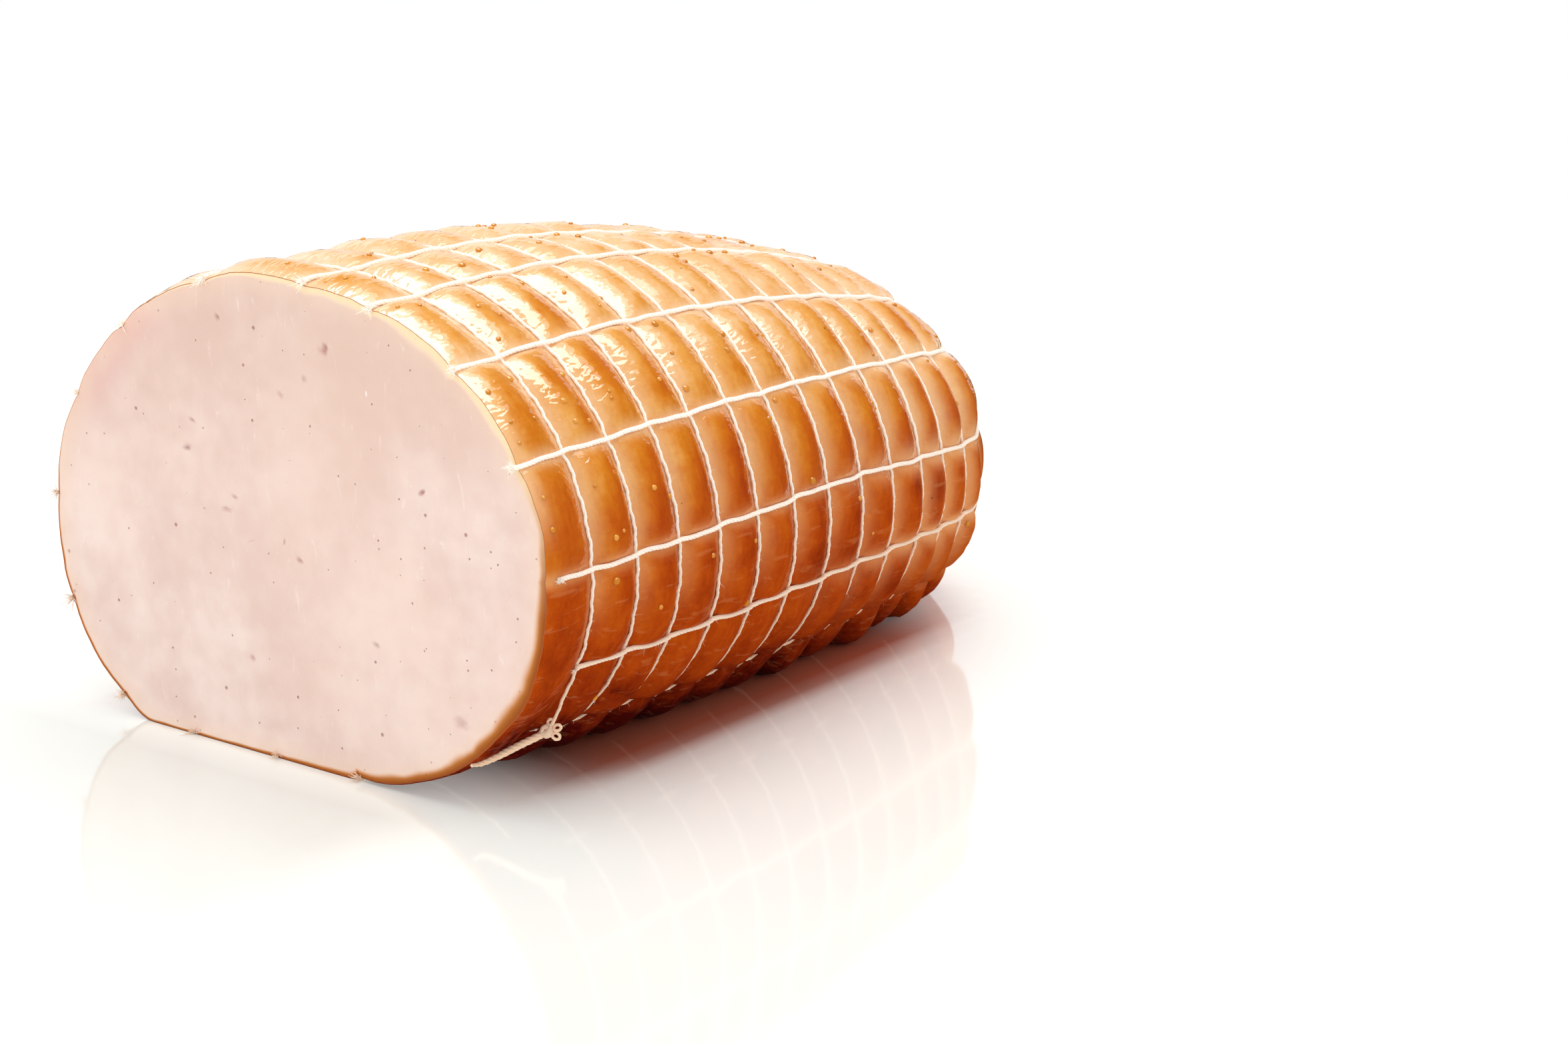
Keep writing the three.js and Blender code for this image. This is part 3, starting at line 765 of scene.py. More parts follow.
def string_path(index):
    """Middle line of a lengthwise string and its outward directions: over the meat's bulge between
    rings, up over each ring, with a slight sideways sway, and at last a little past the last ring,
    under the tuft. One that starts before the cut stands out past it and bends inwards there."""
    start = STRING_STARTS.get(index, END_GAP)
    distance = np.arange(max(0, start), RINGS[-1] + STRING_OVERRUN, STRING_STEP)
    along = along_at(distance)
    row = np.minimum(np.searchsorted(RINGS, distance), len(RINGS) - 1)
    share = (distance - ROW_STARTS[row]) / (RINGS[row] - ROW_STARTS[row])
    share = np.where(row == 0, blend(CUT_ROW_START, 1, share), np.clip(share, 0, 1))
    before = (index - 1) % STRINGS
    pillow = (PILLOWS[row, index] + PILLOWS[row, before]) / 2
    bulge = plumpness(distance) * string_bulge(distance) * pillow
    height = STRING_REST + bulge * swelling(share, *LENGTHWISE_POWERS)
    angle = string_angle(index, along)
    base = skin(angle, along)
    crossing = crossing_share(distance)
    buried = BURIED_STRINGS.get(index, 0) * (1 + BURIED_AT_RING - crossing**LIFT_POWER)
    height = height - rim_drop(base) + CROSSING_RISE * crossing - buried
    sway = sum(aside * np.sin(TAU * distance / size + turn * index) for aside, size, turn in STRING_SWAYS)
    out = skin_normal(angle, along)
    around = unit(skin(angle + SWAY_STEP, along) - skin(angle - SWAY_STEP, along))
    path = on_ground(base + out * height[:, None] + around * sway[:, None], STRING_RADIUS)
    if start < 0:
        over = np.linspace(start, 0, OVERHANG_STEPS + 1)[:-1, None]
        bent = np.array([[0.0, 1.0, 0.0]]) * over + np.array([[OVERHANG_BEND, 0.0, 0.0]]) * over**2
        path = np.concatenate([path[0] + bent, path])
        out = np.concatenate([np.repeat(out[:1], OVERHANG_STEPS, 0), out])
    return path, out


def ring_path(ring):
    """Middle line of a ring and its outward directions: round from string to string in the groove,
    down under each lengthwise string, with a small wave. The first ring is drawn up to the knot
    by exp(-(g^2 - smallest g^2) / reach^2) at a gap g from it and ends there, having begun a little
    past it, beneath the roast."""
    along = along_at(RINGS[ring])
    angles = np.append(string_angle(np.arange(STRINGS), along), string_angle(0, along) - TAU)
    fine = np.linspace(0, STRINGS, RING_CORNERS, endpoint=False)
    index = np.floor(fine).astype(int)
    turn = blend(angles[index], angles[index + 1], fine - index)
    line = skin(turn, along + 0 * turn)
    length = np.concatenate([[0], np.cumsum(np.linalg.norm(np.diff(line, axis=0), axis=1))])
    whole = length[-1]
    arc = np.linspace(0, whole, int(whole / RING_STEP), endpoint=False)
    turn = np.interp(arc, length, turn)
    waves = TAU * max(1, round(whole / RING_WAVE)) * arc / whole
    wave = WAVE_ASIDE * np.sin(waves + ring) + FINE_WAVE_ASIDE * np.sin(FINE_WAVES * waves)
    gaps = np.abs(turn[:, None] - angles[None]).min(1) * whole / TAU
    dip = CROSSING_DIP * nearness(gaps, CROSSING_REACH)
    along = along + 0 * turn
    out = skin_normal(turn, along)
    forth = unit(skin(turn, along + SMALL_STEP) - skin(turn, along - SMALL_STEP))
    path = skin(turn, along) + out * (RING_REST - dip)[:, None] + forth * wave[:, None]
    if ring == 0:
        knot = loose_path()[0][KNOT_STEP]
        gap = np.linalg.norm(path - knot, axis=1)
        pull = np.exp(-((gap**2 - gap.min() ** 2) / KNOT_PULL_REACH**2))
        path = path + pull[:, None] * (knot - path[gap.argmin()])
        path, out = [np.roll(line, -gap.argmin(), 0)[FIRST_RING_GAP:] for line in (path, out)]
    return on_ground(path, RING_RADIUS), out


FIBRE_STEPS = 6
FIBRE_SIDES = 3
FIBRE_THINNING = 0.75
FIBRE_CREASE = 0.15
FIBRE_CURL = (0.2, 0.8)  # of its length, to which its end lies aside
FRAY_LENGTHS = (0.3, 1)  # of the longest
FUZZ_SPREAD = 0.9
FUZZ_LENGTHS = (0.5, 1.5)  # mm
FIBRE_FLOOR = 0.1  # mm above the ground


def fibres(starts, directions, lengths, radius, seed):
    """Loose fibres: each leaves its start in its direction and curls aside by a seeded amount
    times the share squared, as a three-sided hair that thins towards its end."""
    draw = np.random.default_rng(seed)
    share = np.linspace(0, 1, FIBRE_STEPS)
    curl = unit(draw.normal(size=starts.shape)) * draw.uniform(*FIBRE_CURL, (len(starts), 1))
    straight = (directions * lengths[:, None])[:, None] * share[None, :, None]
    curled = (curl * lengths[:, None])[:, None] * (share**2)[None, :, None]
    path = starts[:, None] + straight + curled
    tangent = unit(directions)
    side = unit(np.cross(tangent, draw.normal(size=starts.shape)))
    other = np.cross(tangent, side)
    turn = TAU * np.arange(FIBRE_SIDES) / FIBRE_SIDES
    reach = radius * (1 - FIBRE_THINNING * share)
    one_way = (reach[:, None] * np.cos(turn))[None, ..., None] * side[:, None, None]
    other_way = (reach[:, None] * np.sin(turn))[None, ..., None] * other[:, None, None]
    points = on_ground(path[:, :, None] + (one_way + other_way), FIBRE_FLOOR)
    firsts = np.arange(len(starts))[:, None] * FIBRE_STEPS * FIBRE_SIDES
    lines = (firsts + np.arange(FIBRE_STEPS - 1) * FIBRE_SIDES).ravel()
    quads = ring_quads(lines, lines + FIBRE_SIDES, FIBRE_SIDES)
    near = firsts + np.array([[2, 1, 0]])
    far = firsts + (FIBRE_STEPS - 1) * FIBRE_SIDES + np.array([[0, 1, 2]])
    crease = np.full(points.size // 3, FIBRE_CREASE)
    return shape(points, quads, np.concatenate([near, far]), crease=crease)


def frayed_end(path, count, spread, length, seed):
    """A sheaf of fibres from the start of a path, fanned out back along it."""
    draw = np.random.default_rng(seed)
    back = unit(path[:1] - path[3:4])
    around = draw.normal(size=(count, 3)) * spread
    directions = unit(back + around)
    offsets = unit(draw.normal(size=(count, 3))) * STRING_RADIUS * FIBRE_ROOT
    lengths = length * draw.uniform(*FRAY_LENGTHS, count)
    return fibres(path[0] + offsets, directions, lengths, FRAY_RADIUS, seed + 1)


def fuzz(path, out, every, seed):
    """Short stray fibres that stand off a string, one for so many of its steps."""
    draw = np.random.default_rng(seed)
    count = len(path) // every
    places = draw.integers(2, len(path) - 2, count)
    directions = unit(out[places] + draw.normal(size=(count, 3)) * FUZZ_SPREAD)
    starts = path[places] + unit(directions) * STRING_RADIUS * FIBRE_ROOT
    return fibres(starts, directions, draw.uniform(*FUZZ_LENGTHS, count), FUZZ_RADIUS, seed + 1)


# The loose string and its knot

KNOT_STRING = 6
KNOT_PULL_REACH = 9.0
FIRST_RING_GAP = 26  # steps of the first ring that are left out past the knot
# Points of the loose string: degrees on from the knot's string, mm from the first ring towards the
# cut, and mm above the skin
LOOSE_ROUTE = [
    (8.5, 1.5, 5.6), (6.0, 4.2, 5.8), (3.0, 8.0, 5.3),
    (-0.3, 11.0, 5.1), (-2.6, 14.0, 5.0), (-2.6, 17.2, 5.0),
]  # fmt: skip
LOOSE_STEPS = 90
LOOSE_RADIUS = 1.05
LOOSE_TAPER = (0.5, 66, 89)  # share that the radius loses, and between which steps
LOOSE_PLIES = {"sides": 12, "plies": 4, "twist": 7.0, "groove": 0.3}
LOOSE_FLOOR = 0.1  # mm above the ground
KNOT_STEP = 14  # step of the route at which the knot is
KNOT_RADIUS = 1.4
KNOT_TURNS = 7
TURN_STEPS = 40
TURN_RADIUS = 0.55
TURN_OFFSET = 0.3  # mm that a turn's middle lies off the knot's at the most
TURN_REACH = (0.85, 1.0)  # shares of the knot's radius
TURN_PLIES = {"sides": 8, "twist": 3.6}
KNOT_FACING = [0.6, -0.75, 0.35]  # the knot's loops lie square to this
KNOT_LOOPS = [(0.55, 2.5, 0.85), (-0.3, 2.9, 0.95), (-1.1, 2.8, 1.0)]  # lean, mm from the knot, loop's radius
LOOP_STRING_RADIUS = 0.42
LOOP_LIFT = 0.5  # mm that a loop's middle lies out along the facing
LOOP_NARROWNESS = 0.8
LOOP_WARP = 0.3
LOOP_PLIES = {"sides": 8, "twist": 3.2}


def smooth_path(corners, count):
    """A curve through given points, by Catmull and Rom: each stretch is a cubic whose slope at a
    point is half the way between its neighbours."""
    corners = np.asarray(corners, float)
    padded = np.concatenate([[2 * corners[0] - corners[1]], corners, [2 * corners[-1] - corners[-2]]])
    place = np.linspace(0, len(corners) - 1, count)
    index = np.minimum(place.astype(int), len(corners) - 2)
    t = (place - index)[:, None]
    a, b, c, d = [padded[index + step] for step in range(4)]
    return 0.5 * (2 * b + (c - a) * t + (2 * a - 5 * b + 4 * c - d) * t**2 + (3 * b - a - 3 * c + d) * t**3)


def loose_path():
    """Middle line of the loose string and its outward directions, smooth through its route."""
    route = np.array(LOOSE_ROUTE)
    along = along_at(FIRST_RING - route[:, 1])
    angle = string_angle(KNOT_STRING, along) + np.radians(route[:, 0])
    path = smooth_path(raised(angle, along, route[:, 2]), LOOSE_STEPS)
    return path, unit(smooth_path(skin_normal(angle, along), LOOSE_STEPS))


def loose_surface():
    """The loose string, its knot as a ball of wound turns whose axes are seeded, and three small
    loops that stand out beyond the ball as lobes."""
    path, out = loose_path()
    loss, taper_from, taper_to = LOOSE_TAPER
    radius = LOOSE_RADIUS * (1 - loss * smoothstep(np.arange(LOOSE_STEPS), taper_from, taper_to))
    free = slice(KNOT_STEP + 1, None)
    parts = [strand(path[free], out[free], radius[free], **LOOSE_PLIES)]
    draw = np.random.default_rng(61)
    centre = path[KNOT_STEP]
    turn = TAU * np.arange(TURN_STEPS)[:, None] / TURN_STEPS
    for _ in range(KNOT_TURNS):
        axis = unit(draw.normal(size=3))
        first = unit(np.cross(axis, out[KNOT_STEP]))
        second = np.cross(axis, first)
        around = np.cos(turn) * first + np.sin(turn) * second
        hub = centre + axis * draw.uniform(-TURN_OFFSET, TURN_OFFSET)
        loop = hub + around * draw.uniform(*TURN_REACH) * KNOT_RADIUS
        parts.append(strand(loop, around, TURN_RADIUS, closed=True, **TURN_PLIES))
    facing = unit(np.array(KNOT_FACING))
    away = path[KNOT_STEP - 6] - path[KNOT_STEP + 6]
    away = unit(away - (away @ facing) * facing)
    side = np.cross(facing, away)
    for lean, far, size in KNOT_LOOPS:
        towards = away * math.cos(lean) + side * math.sin(lean)
        across = np.cross(facing, towards) * LOOP_NARROWNESS
        hub = centre + towards * far + LOOP_LIFT * facing
        loop = hub + np.cos(turn) * towards * size + np.sin(turn) * across * size
        loop = loop + facing * LOOP_WARP * np.sin(2 * turn + lean)
        parts.append(strand(loop, facing + 0 * loop, LOOP_STRING_RADIUS, closed=True, **LOOP_PLIES))
    whole = joined(parts)
    whole["points"] = on_ground(whole["points"], LOOSE_FLOOR)
    return whole


# The tuft that closes the far end

TUFT_STRANDS = 16
TUFT_STEPS = 34
STRAND_TURNS = (-0.12, 0.12)  # radians that a strand may lie aside
STRAND_FLARES = (0.55, 1.05)  # shares of the flare that it has
STRAND_TOPS = (0.82, 1.02)  # and of the top
TUFT_LIFT = 1.4  # mm from the pole to the foot of the tuft
TUFT_FLARE = 7.2
TUFT_TOP = 14.5
NECK = [(6.2, 0.0), (3.6, 1.6), (2.9, 3.8), (3.1, 5.6)]  # radius and height of a strand up to the tie
HALF_FLARE = (0.62, 0.72)  # shares of the flare and the top that it then goes through
TUFT_SWIRL = 0.05  # radians for each mm of height
TUFT_PLIES = {"sides": 8, "twist": 3.8}
TUFT_FRAY = (9, 0.45, 2.4)
TIE_TURNS = 4
TIE_STEPS = 170
TIE_RADIUS = 4.25
TIE_HEIGHT = 2.9
TIE_WIDTH = 2.6
TIE_PLIES = {"sides": 8, "twist": 3.6}
TIE_END = np.array([[0, 0, 0], [2.2, 1.0, 1.2], [4.6, 1.2, 3.0], [6.4, -0.4, 4.6]])
TIE_END_LEANS = (-0.5, 0.6)  # height of each of its two ends, against those points
TIE_END_STEPS = 26
TIE_FRAY = (9, 0.45, 2.0)
TUFT_STRING_RADIUS = 0.8
TIE_STRING_RADIUS = 0.75


def tuft_surface():
    """The strings of the net gathered into a neck over the pole, tied with wound turns of twine
    and flared out to their cut ends: each strand goes smoothly through the radii and heights of
    the neck, and through a part of its flare, to its whole flare."""
    draw = np.random.default_rng(51)
    parts = []
    base = POLE + np.array([0.0, TUFT_LIFT, 0.0])
    for index in range(TUFT_STRANDS):
        turn = TAU * index / TUFT_STRANDS + draw.uniform(*STRAND_TURNS)
        flare = TUFT_FLARE * draw.uniform(*STRAND_FLARES)
        top = TUFT_TOP * draw.uniform(*STRAND_TOPS)
        profile = np.array([*NECK, (HALF_FLARE[0] * flare, HALF_FLARE[1] * top), (flare, top)])
        radius, height = profile.T
        swirl = turn + TUFT_SWIRL * height
        corners = np.stack([np.cos(swirl) * radius, height, np.sin(swirl) * radius], -1)
        path = base + smooth_path(corners, TUFT_STEPS)
        out = path - base - np.array([0, 1, 0]) * (path - base)[:, 1:2]
        parts.append(strand(path, unit(out + 1e-6), TUFT_STRING_RADIUS, **TUFT_PLIES))
        parts.append(frayed_end(path[::-1], *TUFT_FRAY, 600 + index))
    turn = np.linspace(0, TAU * TIE_TURNS, TIE_STEPS)
    around = np.stack([np.cos(turn), 0 * turn, np.sin(turn)], -1)
    climb = TIE_HEIGHT + TIE_WIDTH * turn / turn[-1]
    tie = base + around * TIE_RADIUS + np.array([0.0, 1.0, 0.0]) * climb[:, None]
    parts.append(strand(tie, around, TIE_STRING_RADIUS, **TIE_PLIES))
    for lean in TIE_END_LEANS:
        path = smooth_path(tie[-1] + TIE_END * [1, 1, lean], TIE_END_STEPS)
        upward = np.repeat([[0.0, 1.0, 0.2]], len(path), 0)
        parts.append(strand(path, upward, TIE_STRING_RADIUS, **TIE_PLIES))
        parts.append(frayed_end(path[::-1], *TIE_FRAY, 700 + int(10 * lean)))
    return joined(parts)


# Beads of juice on the crust

BEAD_COUNT = 240
BEAD_SIDES = 10
BEAD_RINGS = 5
BEAD_HEIGHT = 0.72  # against its radius
BEAD_ROOT = -0.3  # the same for the point that closes it beneath the crust
BEAD_EDGE = 115  # degrees from its top down to its edge
BEAD_RADII = (0.55, 0.6)  # mm of the smallest, and how much larger the largest is
BEAD_ALONG = (0.15, 0.93)  # shares of a pillow's length between which they stand
BEAD_ROUND = (0.08, 0.92)  # and of its width
BEAD_FROM_CUT = 0.5  # least share of its length in the first row
BEAD_LEAST_CHANCE = 0.12  # on the underside, against 1 more on top
BEAD_HEIGHTS = (-0.6, 0.3)  # sine of a column's angle between which the chance grows
BEAD_CHANCE_PLACE = 100.0  # mm from the cut at which a column's angle is taken


def bead_surface():
    """Small domed beads: a flattened unit dome of latitudes and longitudes, scaled to each bead's
    radius and set into the crust at a seeded place of a seeded pillow."""
    draw = np.random.default_rng(81)
    row = draw.integers(0, len(RINGS) - 1, BEAD_COUNT)
    string = draw.choice(STRINGS, BEAD_COUNT, p=bead_chances())
    along_share = draw.uniform(*BEAD_ALONG, BEAD_COUNT)
    along_share = np.where(row == 0, np.maximum(along_share, BEAD_FROM_CUT), along_share)
    round_share = draw.uniform(*BEAD_ROUND, BEAD_COUNT)
    way = np.where(row == 0, (along_share - CUT_ROW_START) / (1 - CUT_ROW_START), along_share)
    along = along_at(blend(ROW_STARTS[row], RINGS[row], way))
    angle = blend(string_angle(string, along), string_angle(string + 1, along), round_share)
    base, normal = skin(angle, along), skin_normal(angle, along)
    centre = on_ground(base + normal * relief(row, string, along_share, round_share, base)[:, None])
    radius = BEAD_RADII[0] + BEAD_RADII[1] * draw.uniform(0, 1, BEAD_COUNT) ** 1.5
    side = unit(np.cross(normal, draw.normal(size=normal.shape)))
    other = np.cross(normal, side)
    tilt = np.radians(np.linspace(BEAD_EDGE, 0, BEAD_RINGS + 1))[:-1, None]
    turn = TAU * np.arange(BEAD_SIDES) / BEAD_SIDES
    dome = [np.sin(tilt) * np.cos(turn), np.sin(tilt) * np.sin(turn), BEAD_HEIGHT * np.cos(tilt) + 0 * turn]
    ends = [[0, 0, BEAD_HEIGHT], [0, 0, BEAD_ROOT]]
    unit_bead = np.concatenate([np.stack(dome, -1).reshape(-1, 3), ends])
    axes = np.stack([side, other, normal], 1) * radius[:, None, None]
    points = centre[:, None] + np.einsum("pk,bkc->bpc", unit_bead, axes)
    size = len(unit_bead)
    lines = np.arange(BEAD_RINGS) * BEAD_SIDES
    quads = ring_quads(lines[:-1], lines[1:], BEAD_SIDES)
    top = fan(lines[-1], BEAD_SIDES, size - 2)
    bottom = fan(0, BEAD_SIDES, size - 1, turned=True)
    firsts = (np.arange(BEAD_COUNT) * size)[:, None, None]
    triangles = np.concatenate([top, bottom])[None] + firsts
    return shape(points, (quads[None] + firsts).reshape(-1, 4), triangles.reshape(-1, 3))


def bead_chances():
    """Chance of each column of pillows: most beads stand on the upper flanks."""
    along = along_at(BEAD_CHANCE_PLACE)
    strings = np.arange(STRINGS)
    angle = (string_angle(strings, along) + string_angle(strings + 1, along)) / 2
    weight = BEAD_LEAST_CHANCE + smoothstep(np.sin(angle), *BEAD_HEIGHTS)
    return weight / weight.sum()


# Materials


def tint(red, green, blue):
    """A colour as it is seen on a screen, 0 to 255, turned into light: ((c + 0.055) / 1.055)^2.4,
    or c / 12.92 in the darkest part."""
    seen = np.array([red, green, blue]) / 255
    light = np.where(seen > 0.04045, ((seen + 0.055) / 1.055) ** 2.4, seen / 12.92)
    return (*light, 1.0)


def set_inputs(tree, node, inputs):
    """A node's inputs: one that is a socket is linked, any other is a value."""
    for name, value in inputs.items():
        if isinstance(value, bpy.types.NodeSocket):
            tree.links.new(value, node.inputs[name])
        else:
            node.inputs[name].default_value = value


def add(tree, kind, inputs=None, **settings):
    """A node with its settings and inputs."""
    node = tree.nodes.new("ShaderNode" + kind)
    for name, value in settings.items():
        setattr(node, name, value)
    set_inputs(tree, node, inputs or {})
    return node


def sums(tree, operation, first, second=0.0, third=0.0):
    """One step of arithmetic on values."""
    return add(tree, "Math", {0: first, 1: second, 2: third}, operation=operation).outputs[0]


def times(tree, first, second):
    """The product of two values."""
    return sums(tree, "MULTIPLY", first, second)


def stretched(tree, vector, scale, turn=(0, 0, 0)):
    """Coordinates scaled along their axes, after a turn."""
    return add(tree, "Mapping", {"Vector": vector, "Rotation": turn, "Scale": scale}).outputs["Vector"]


def between(tree, value, low, high, to_low=0.0, to_high=1.0):
    """The value from low to high made smoothly into to_low to to_high."""
    inputs = {"Value": value, "From Min": low, "From Max": high, "To Min": to_low, "To Max": to_high}
    return add(tree, "MapRange", inputs, interpolation_type="SMOOTHSTEP").outputs["Result"]


def mixed(tree, share, first, second, kind="MIX"):
    """Two colours mixed by a share."""
    inputs = {0: share, 6: first, 7: second}
    return add(tree, "Mix", inputs, data_type="RGBA", blend_type=kind).outputs[2]


def ramp(tree, share, stops):
    """A colour that goes through the stops as the share grows."""
    node = add(tree, "ValToRGB", {"Fac": share})
    elements = node.color_ramp.elements
    for place, colour in stops[2:]:
        elements.new(place)
    for element, (place, colour) in zip(elements, stops):
        element.position = place
        element.color = colour
    return node.outputs["Color"]


def mark(tree, name):
    """A value that the surface holds at its points."""
    return add(tree, "Attribute", attribute_name=name).outputs["Fac"]


def noise(tree, vector, size, detail=3.0, rough=0.55, distortion=0.0):
    """Noise whose lumps are of the given size in mm."""
    inputs = {"Vector": vector, "Scale": 1000 / size, "Detail": detail, "Roughness": rough}
    inputs["Distortion"] = distortion
    return add(tree, "TexNoise", inputs).outputs["Fac"]


def new_group(name, inputs, outputs):
    """An empty shader group with its sockets, and its two end nodes."""
    tree = bpy.data.node_groups.new(name, "ShaderNodeTree")
    for socket, kind, value in inputs:
        made = tree.interface.new_socket(socket, in_out="INPUT", socket_type="NodeSocket" + kind)
        if value is not None:
            made.default_value = value
    for socket, kind in outputs:
        tree.interface.new_socket(socket, in_out="OUTPUT", socket_type="NodeSocket" + kind)
    return tree, tree.nodes.new("NodeGroupInput").outputs, tree.nodes.new("NodeGroupOutput").inputs


def speck_group(name, dimensions):
    """Round specks in some cells of a cell pattern: in the share of cells whose random value is
    low enough, within the size from the cell's middle."""
    inputs = [("Vector", "Vector", None)]
    inputs += [("Cell", "Float", 4.0), ("Size", "Float", 0.1), ("Share", "Float", 0.3)]
    tree, given, out = new_group(name, inputs, [("Mask", "Float")])
    pattern = {"Vector": given["Vector"], "Scale": sums(tree, "DIVIDE", 1000.0, given["Cell"])}
    cells = add(tree, "TexVoronoi", pattern, voronoi_dimensions=dimensions)
    chance = add(tree, "SeparateColor", {"Color": cells.outputs["Color"]})
    own_size = times(tree, given["Size"], sums(tree, "ADD", chance.outputs["Green"], 0.4))
    disc = between(tree, cells.outputs["Distance"], own_size, times(tree, own_size, 0.5))
    chosen = sums(tree, "LESS_THAN", chance.outputs["Red"], given["Share"])
    tree.links.new(times(tree, disc, chosen), out["Mask"])
    return tree


def mottle_group():
    """Coarse and fine noise mixed by a share, from about 0 to 1."""
    inputs = [("Vector", "Vector", None)]
    inputs += [("Coarse", "Float", 20.0), ("Fine", "Float", 4.0), ("Fine share", "Float", 0.4)]
    tree, given, out = new_group("mottle", inputs, [("Value", "Float")])
    noises = []
    for size, detail in (("Coarse", 2.0), ("Fine", 4.0)):
        scale = sums(tree, "DIVIDE", 1000.0, given[size])
        noises.append(add(tree, "TexNoise", {"Vector": given["Vector"], "Scale": scale, "Detail": detail}))
    coarse, fine = [node.outputs["Fac"] for node in noises]
    mix = add(tree, "Mix", {0: given["Fine share"], 2: coarse, 3: fine})
    tree.links.new(between(tree, mix.outputs[0], 0.3, 0.7), out["Value"])
    return tree


SPECKS = speck_group("specks", "3D")
FLAT_SPECKS = speck_group("flat_specks", "2D")
MOTTLE = mottle_group()


def grouped(tree, group, inputs, output):
    """A shared group in a material, with its own values."""
    node = tree.nodes.new("ShaderNodeGroup")
    node.node_tree = group
    set_inputs(tree, node, inputs)
    return node.outputs[output]


def mottled(tree, vector, coarse, fine, fine_share):
    """The shared mottle, its lumps of the given sizes in mm."""
    inputs = {"Vector": vector, "Coarse": coarse, "Fine": fine, "Fine share": fine_share}
    return grouped(tree, MOTTLE, inputs, "Value")


def specked(tree, group, vector, cell, size, share):
    """The shared specks, in cells of the given size in mm, each speck a share of a cell."""
    return grouped(tree, group, {"Vector": vector, "Cell": cell, "Size": size, "Share": share}, "Mask")


def new_material(name):
    """An empty material: its node tree, its Principled shader and its Object coordinates."""
    material = bpy.data.materials.new(name)
    material.use_nodes = True
    tree = material.node_tree
    tree.nodes.clear()
    shader = tree.nodes.new("ShaderNodeBsdfPrincipled")
    output = tree.nodes.new("ShaderNodeOutputMaterial")
    tree.links.new(shader.outputs["BSDF"], output.inputs["Surface"])
    place = add(tree, "TexCoord").outputs["Object"]
    return material, tree, shader, place


def bumped(tree, height, depth, strength=1.0, normal=None):
    """A bump of a depth in mm where the height goes from 0 to 1."""
    inputs = {"Height": height, "Distance": depth * MM, "Strength": strength}
    if normal is not None:
        inputs["Normal"] = normal
    return add(tree, "Bump", inputs).outputs["Normal"]


CRUST_STOPS = [
    (0.0, tint(250, 226, 196)),
    (0.14, tint(244, 198, 146)),
    (0.3, tint(231, 161, 76)),
    (0.45, tint(213, 124, 30)),
    (0.6, tint(198, 94, 18)),
    (0.75, tint(178, 69, 13)),
    (0.88, tint(146, 47, 9)),
    (1.0, tint(84, 12, 6)),
]
HIGH_GROOVE_TINT = tint(248, 208, 168)
LOW_GROOVE_TINT = tint(238, 178, 124)


def crust_material():
    """Smoked crust: from pale gold to dark brown by its browning and the painted shade and light held
    in that mark, paler beside the strings, with streaks, faint wrinkles and dark specks, and a wet coat with
    folds of its own over puckered skin."""
    material, tree, shader, place = new_material("smoked_crust")
    browning, groove, lowness = [mark(tree, name) for name in ("browning", "groove", "lowness")]
    streaks = noise(tree, stretched(tree, place, (1.0, 2.4, 1.0)), 5.5, 4.0, 0.6, 0.4)
    fine = noise(tree, place, 1.6, 3.0, 0.6)
    blotches = mottled(tree, place, 16.0, 3.0, 0.35)
    tone = browning
    for pattern, share in ((streaks, 0.2), (fine, 0.1), (blotches, 0.07)):
        tone = sums(tree, "ADD", tone, sums(tree, "MULTIPLY_ADD", pattern, share, -share / 2))
    colour = ramp(tree, tone, CRUST_STOPS)
    groove_tint = mixed(tree, between(tree, lowness, 0.2, 0.55), HIGH_GROOVE_TINT, LOW_GROOVE_TINT)
    colour = mixed(tree, times(tree, groove, 0.62), colour, groove_tint)
    wrinkles = noise(tree, stretched(tree, place, (1.0, 0.11, 1.0)), 2.4, 4.0, 0.6, 0.6)
    low_share = between(tree, lowness, 0.35, 0.6, 0.0, 0.18)
    pale = times(tree, between(tree, wrinkles, 0.56, 0.7), low_share)
    colour = mixed(tree, pale, colour, tint(228, 156, 100))
    dots = specked(tree, SPECKS, place, 7.0, 0.05, 0.3)
    colour = mixed(tree, times(tree, dots, 0.7), colour, tint(110, 48, 16))
    pucker_place = stretched(tree, place, (1.0, 0.4, 1.0))
    puckers = noise(tree, pucker_place, 1.7, 5.0, 0.6, 0.5)
    folds = noise(tree, pucker_place, 2.0, 1.0, 0.5, 0.3)
    wet_normal = bumped(tree, folds, 0.42, 1.0)
    normal = bumped(tree, puckers, 0.3, 0.85)
    normal = bumped(tree, fine, 0.07, 0.7, normal)
    normal = bumped(tree, dots, -0.1, 0.6, normal)
    roughness = between(tree, streaks, 0.3, 0.75, 0.34, 0.5)
    coat = between(tree, lowness, 0.3, 0.7, 1.0, 0.15)
    set_inputs(tree, shader, {
        "Base Color": colour, "Roughness": roughness, "Normal": normal, "IOR": 1.4,
        "Specular IOR Level": 0.0,
        "Subsurface Weight": 0.06, "Subsurface Radius": (1.0, 0.42, 0.18), "Subsurface Scale": 0.002,
        "Coat Weight": coat, "Coat Roughness": 0.05, "Coat IOR": 1.5, "Coat Normal": wet_normal,
    })  # fmt: skip
    return material


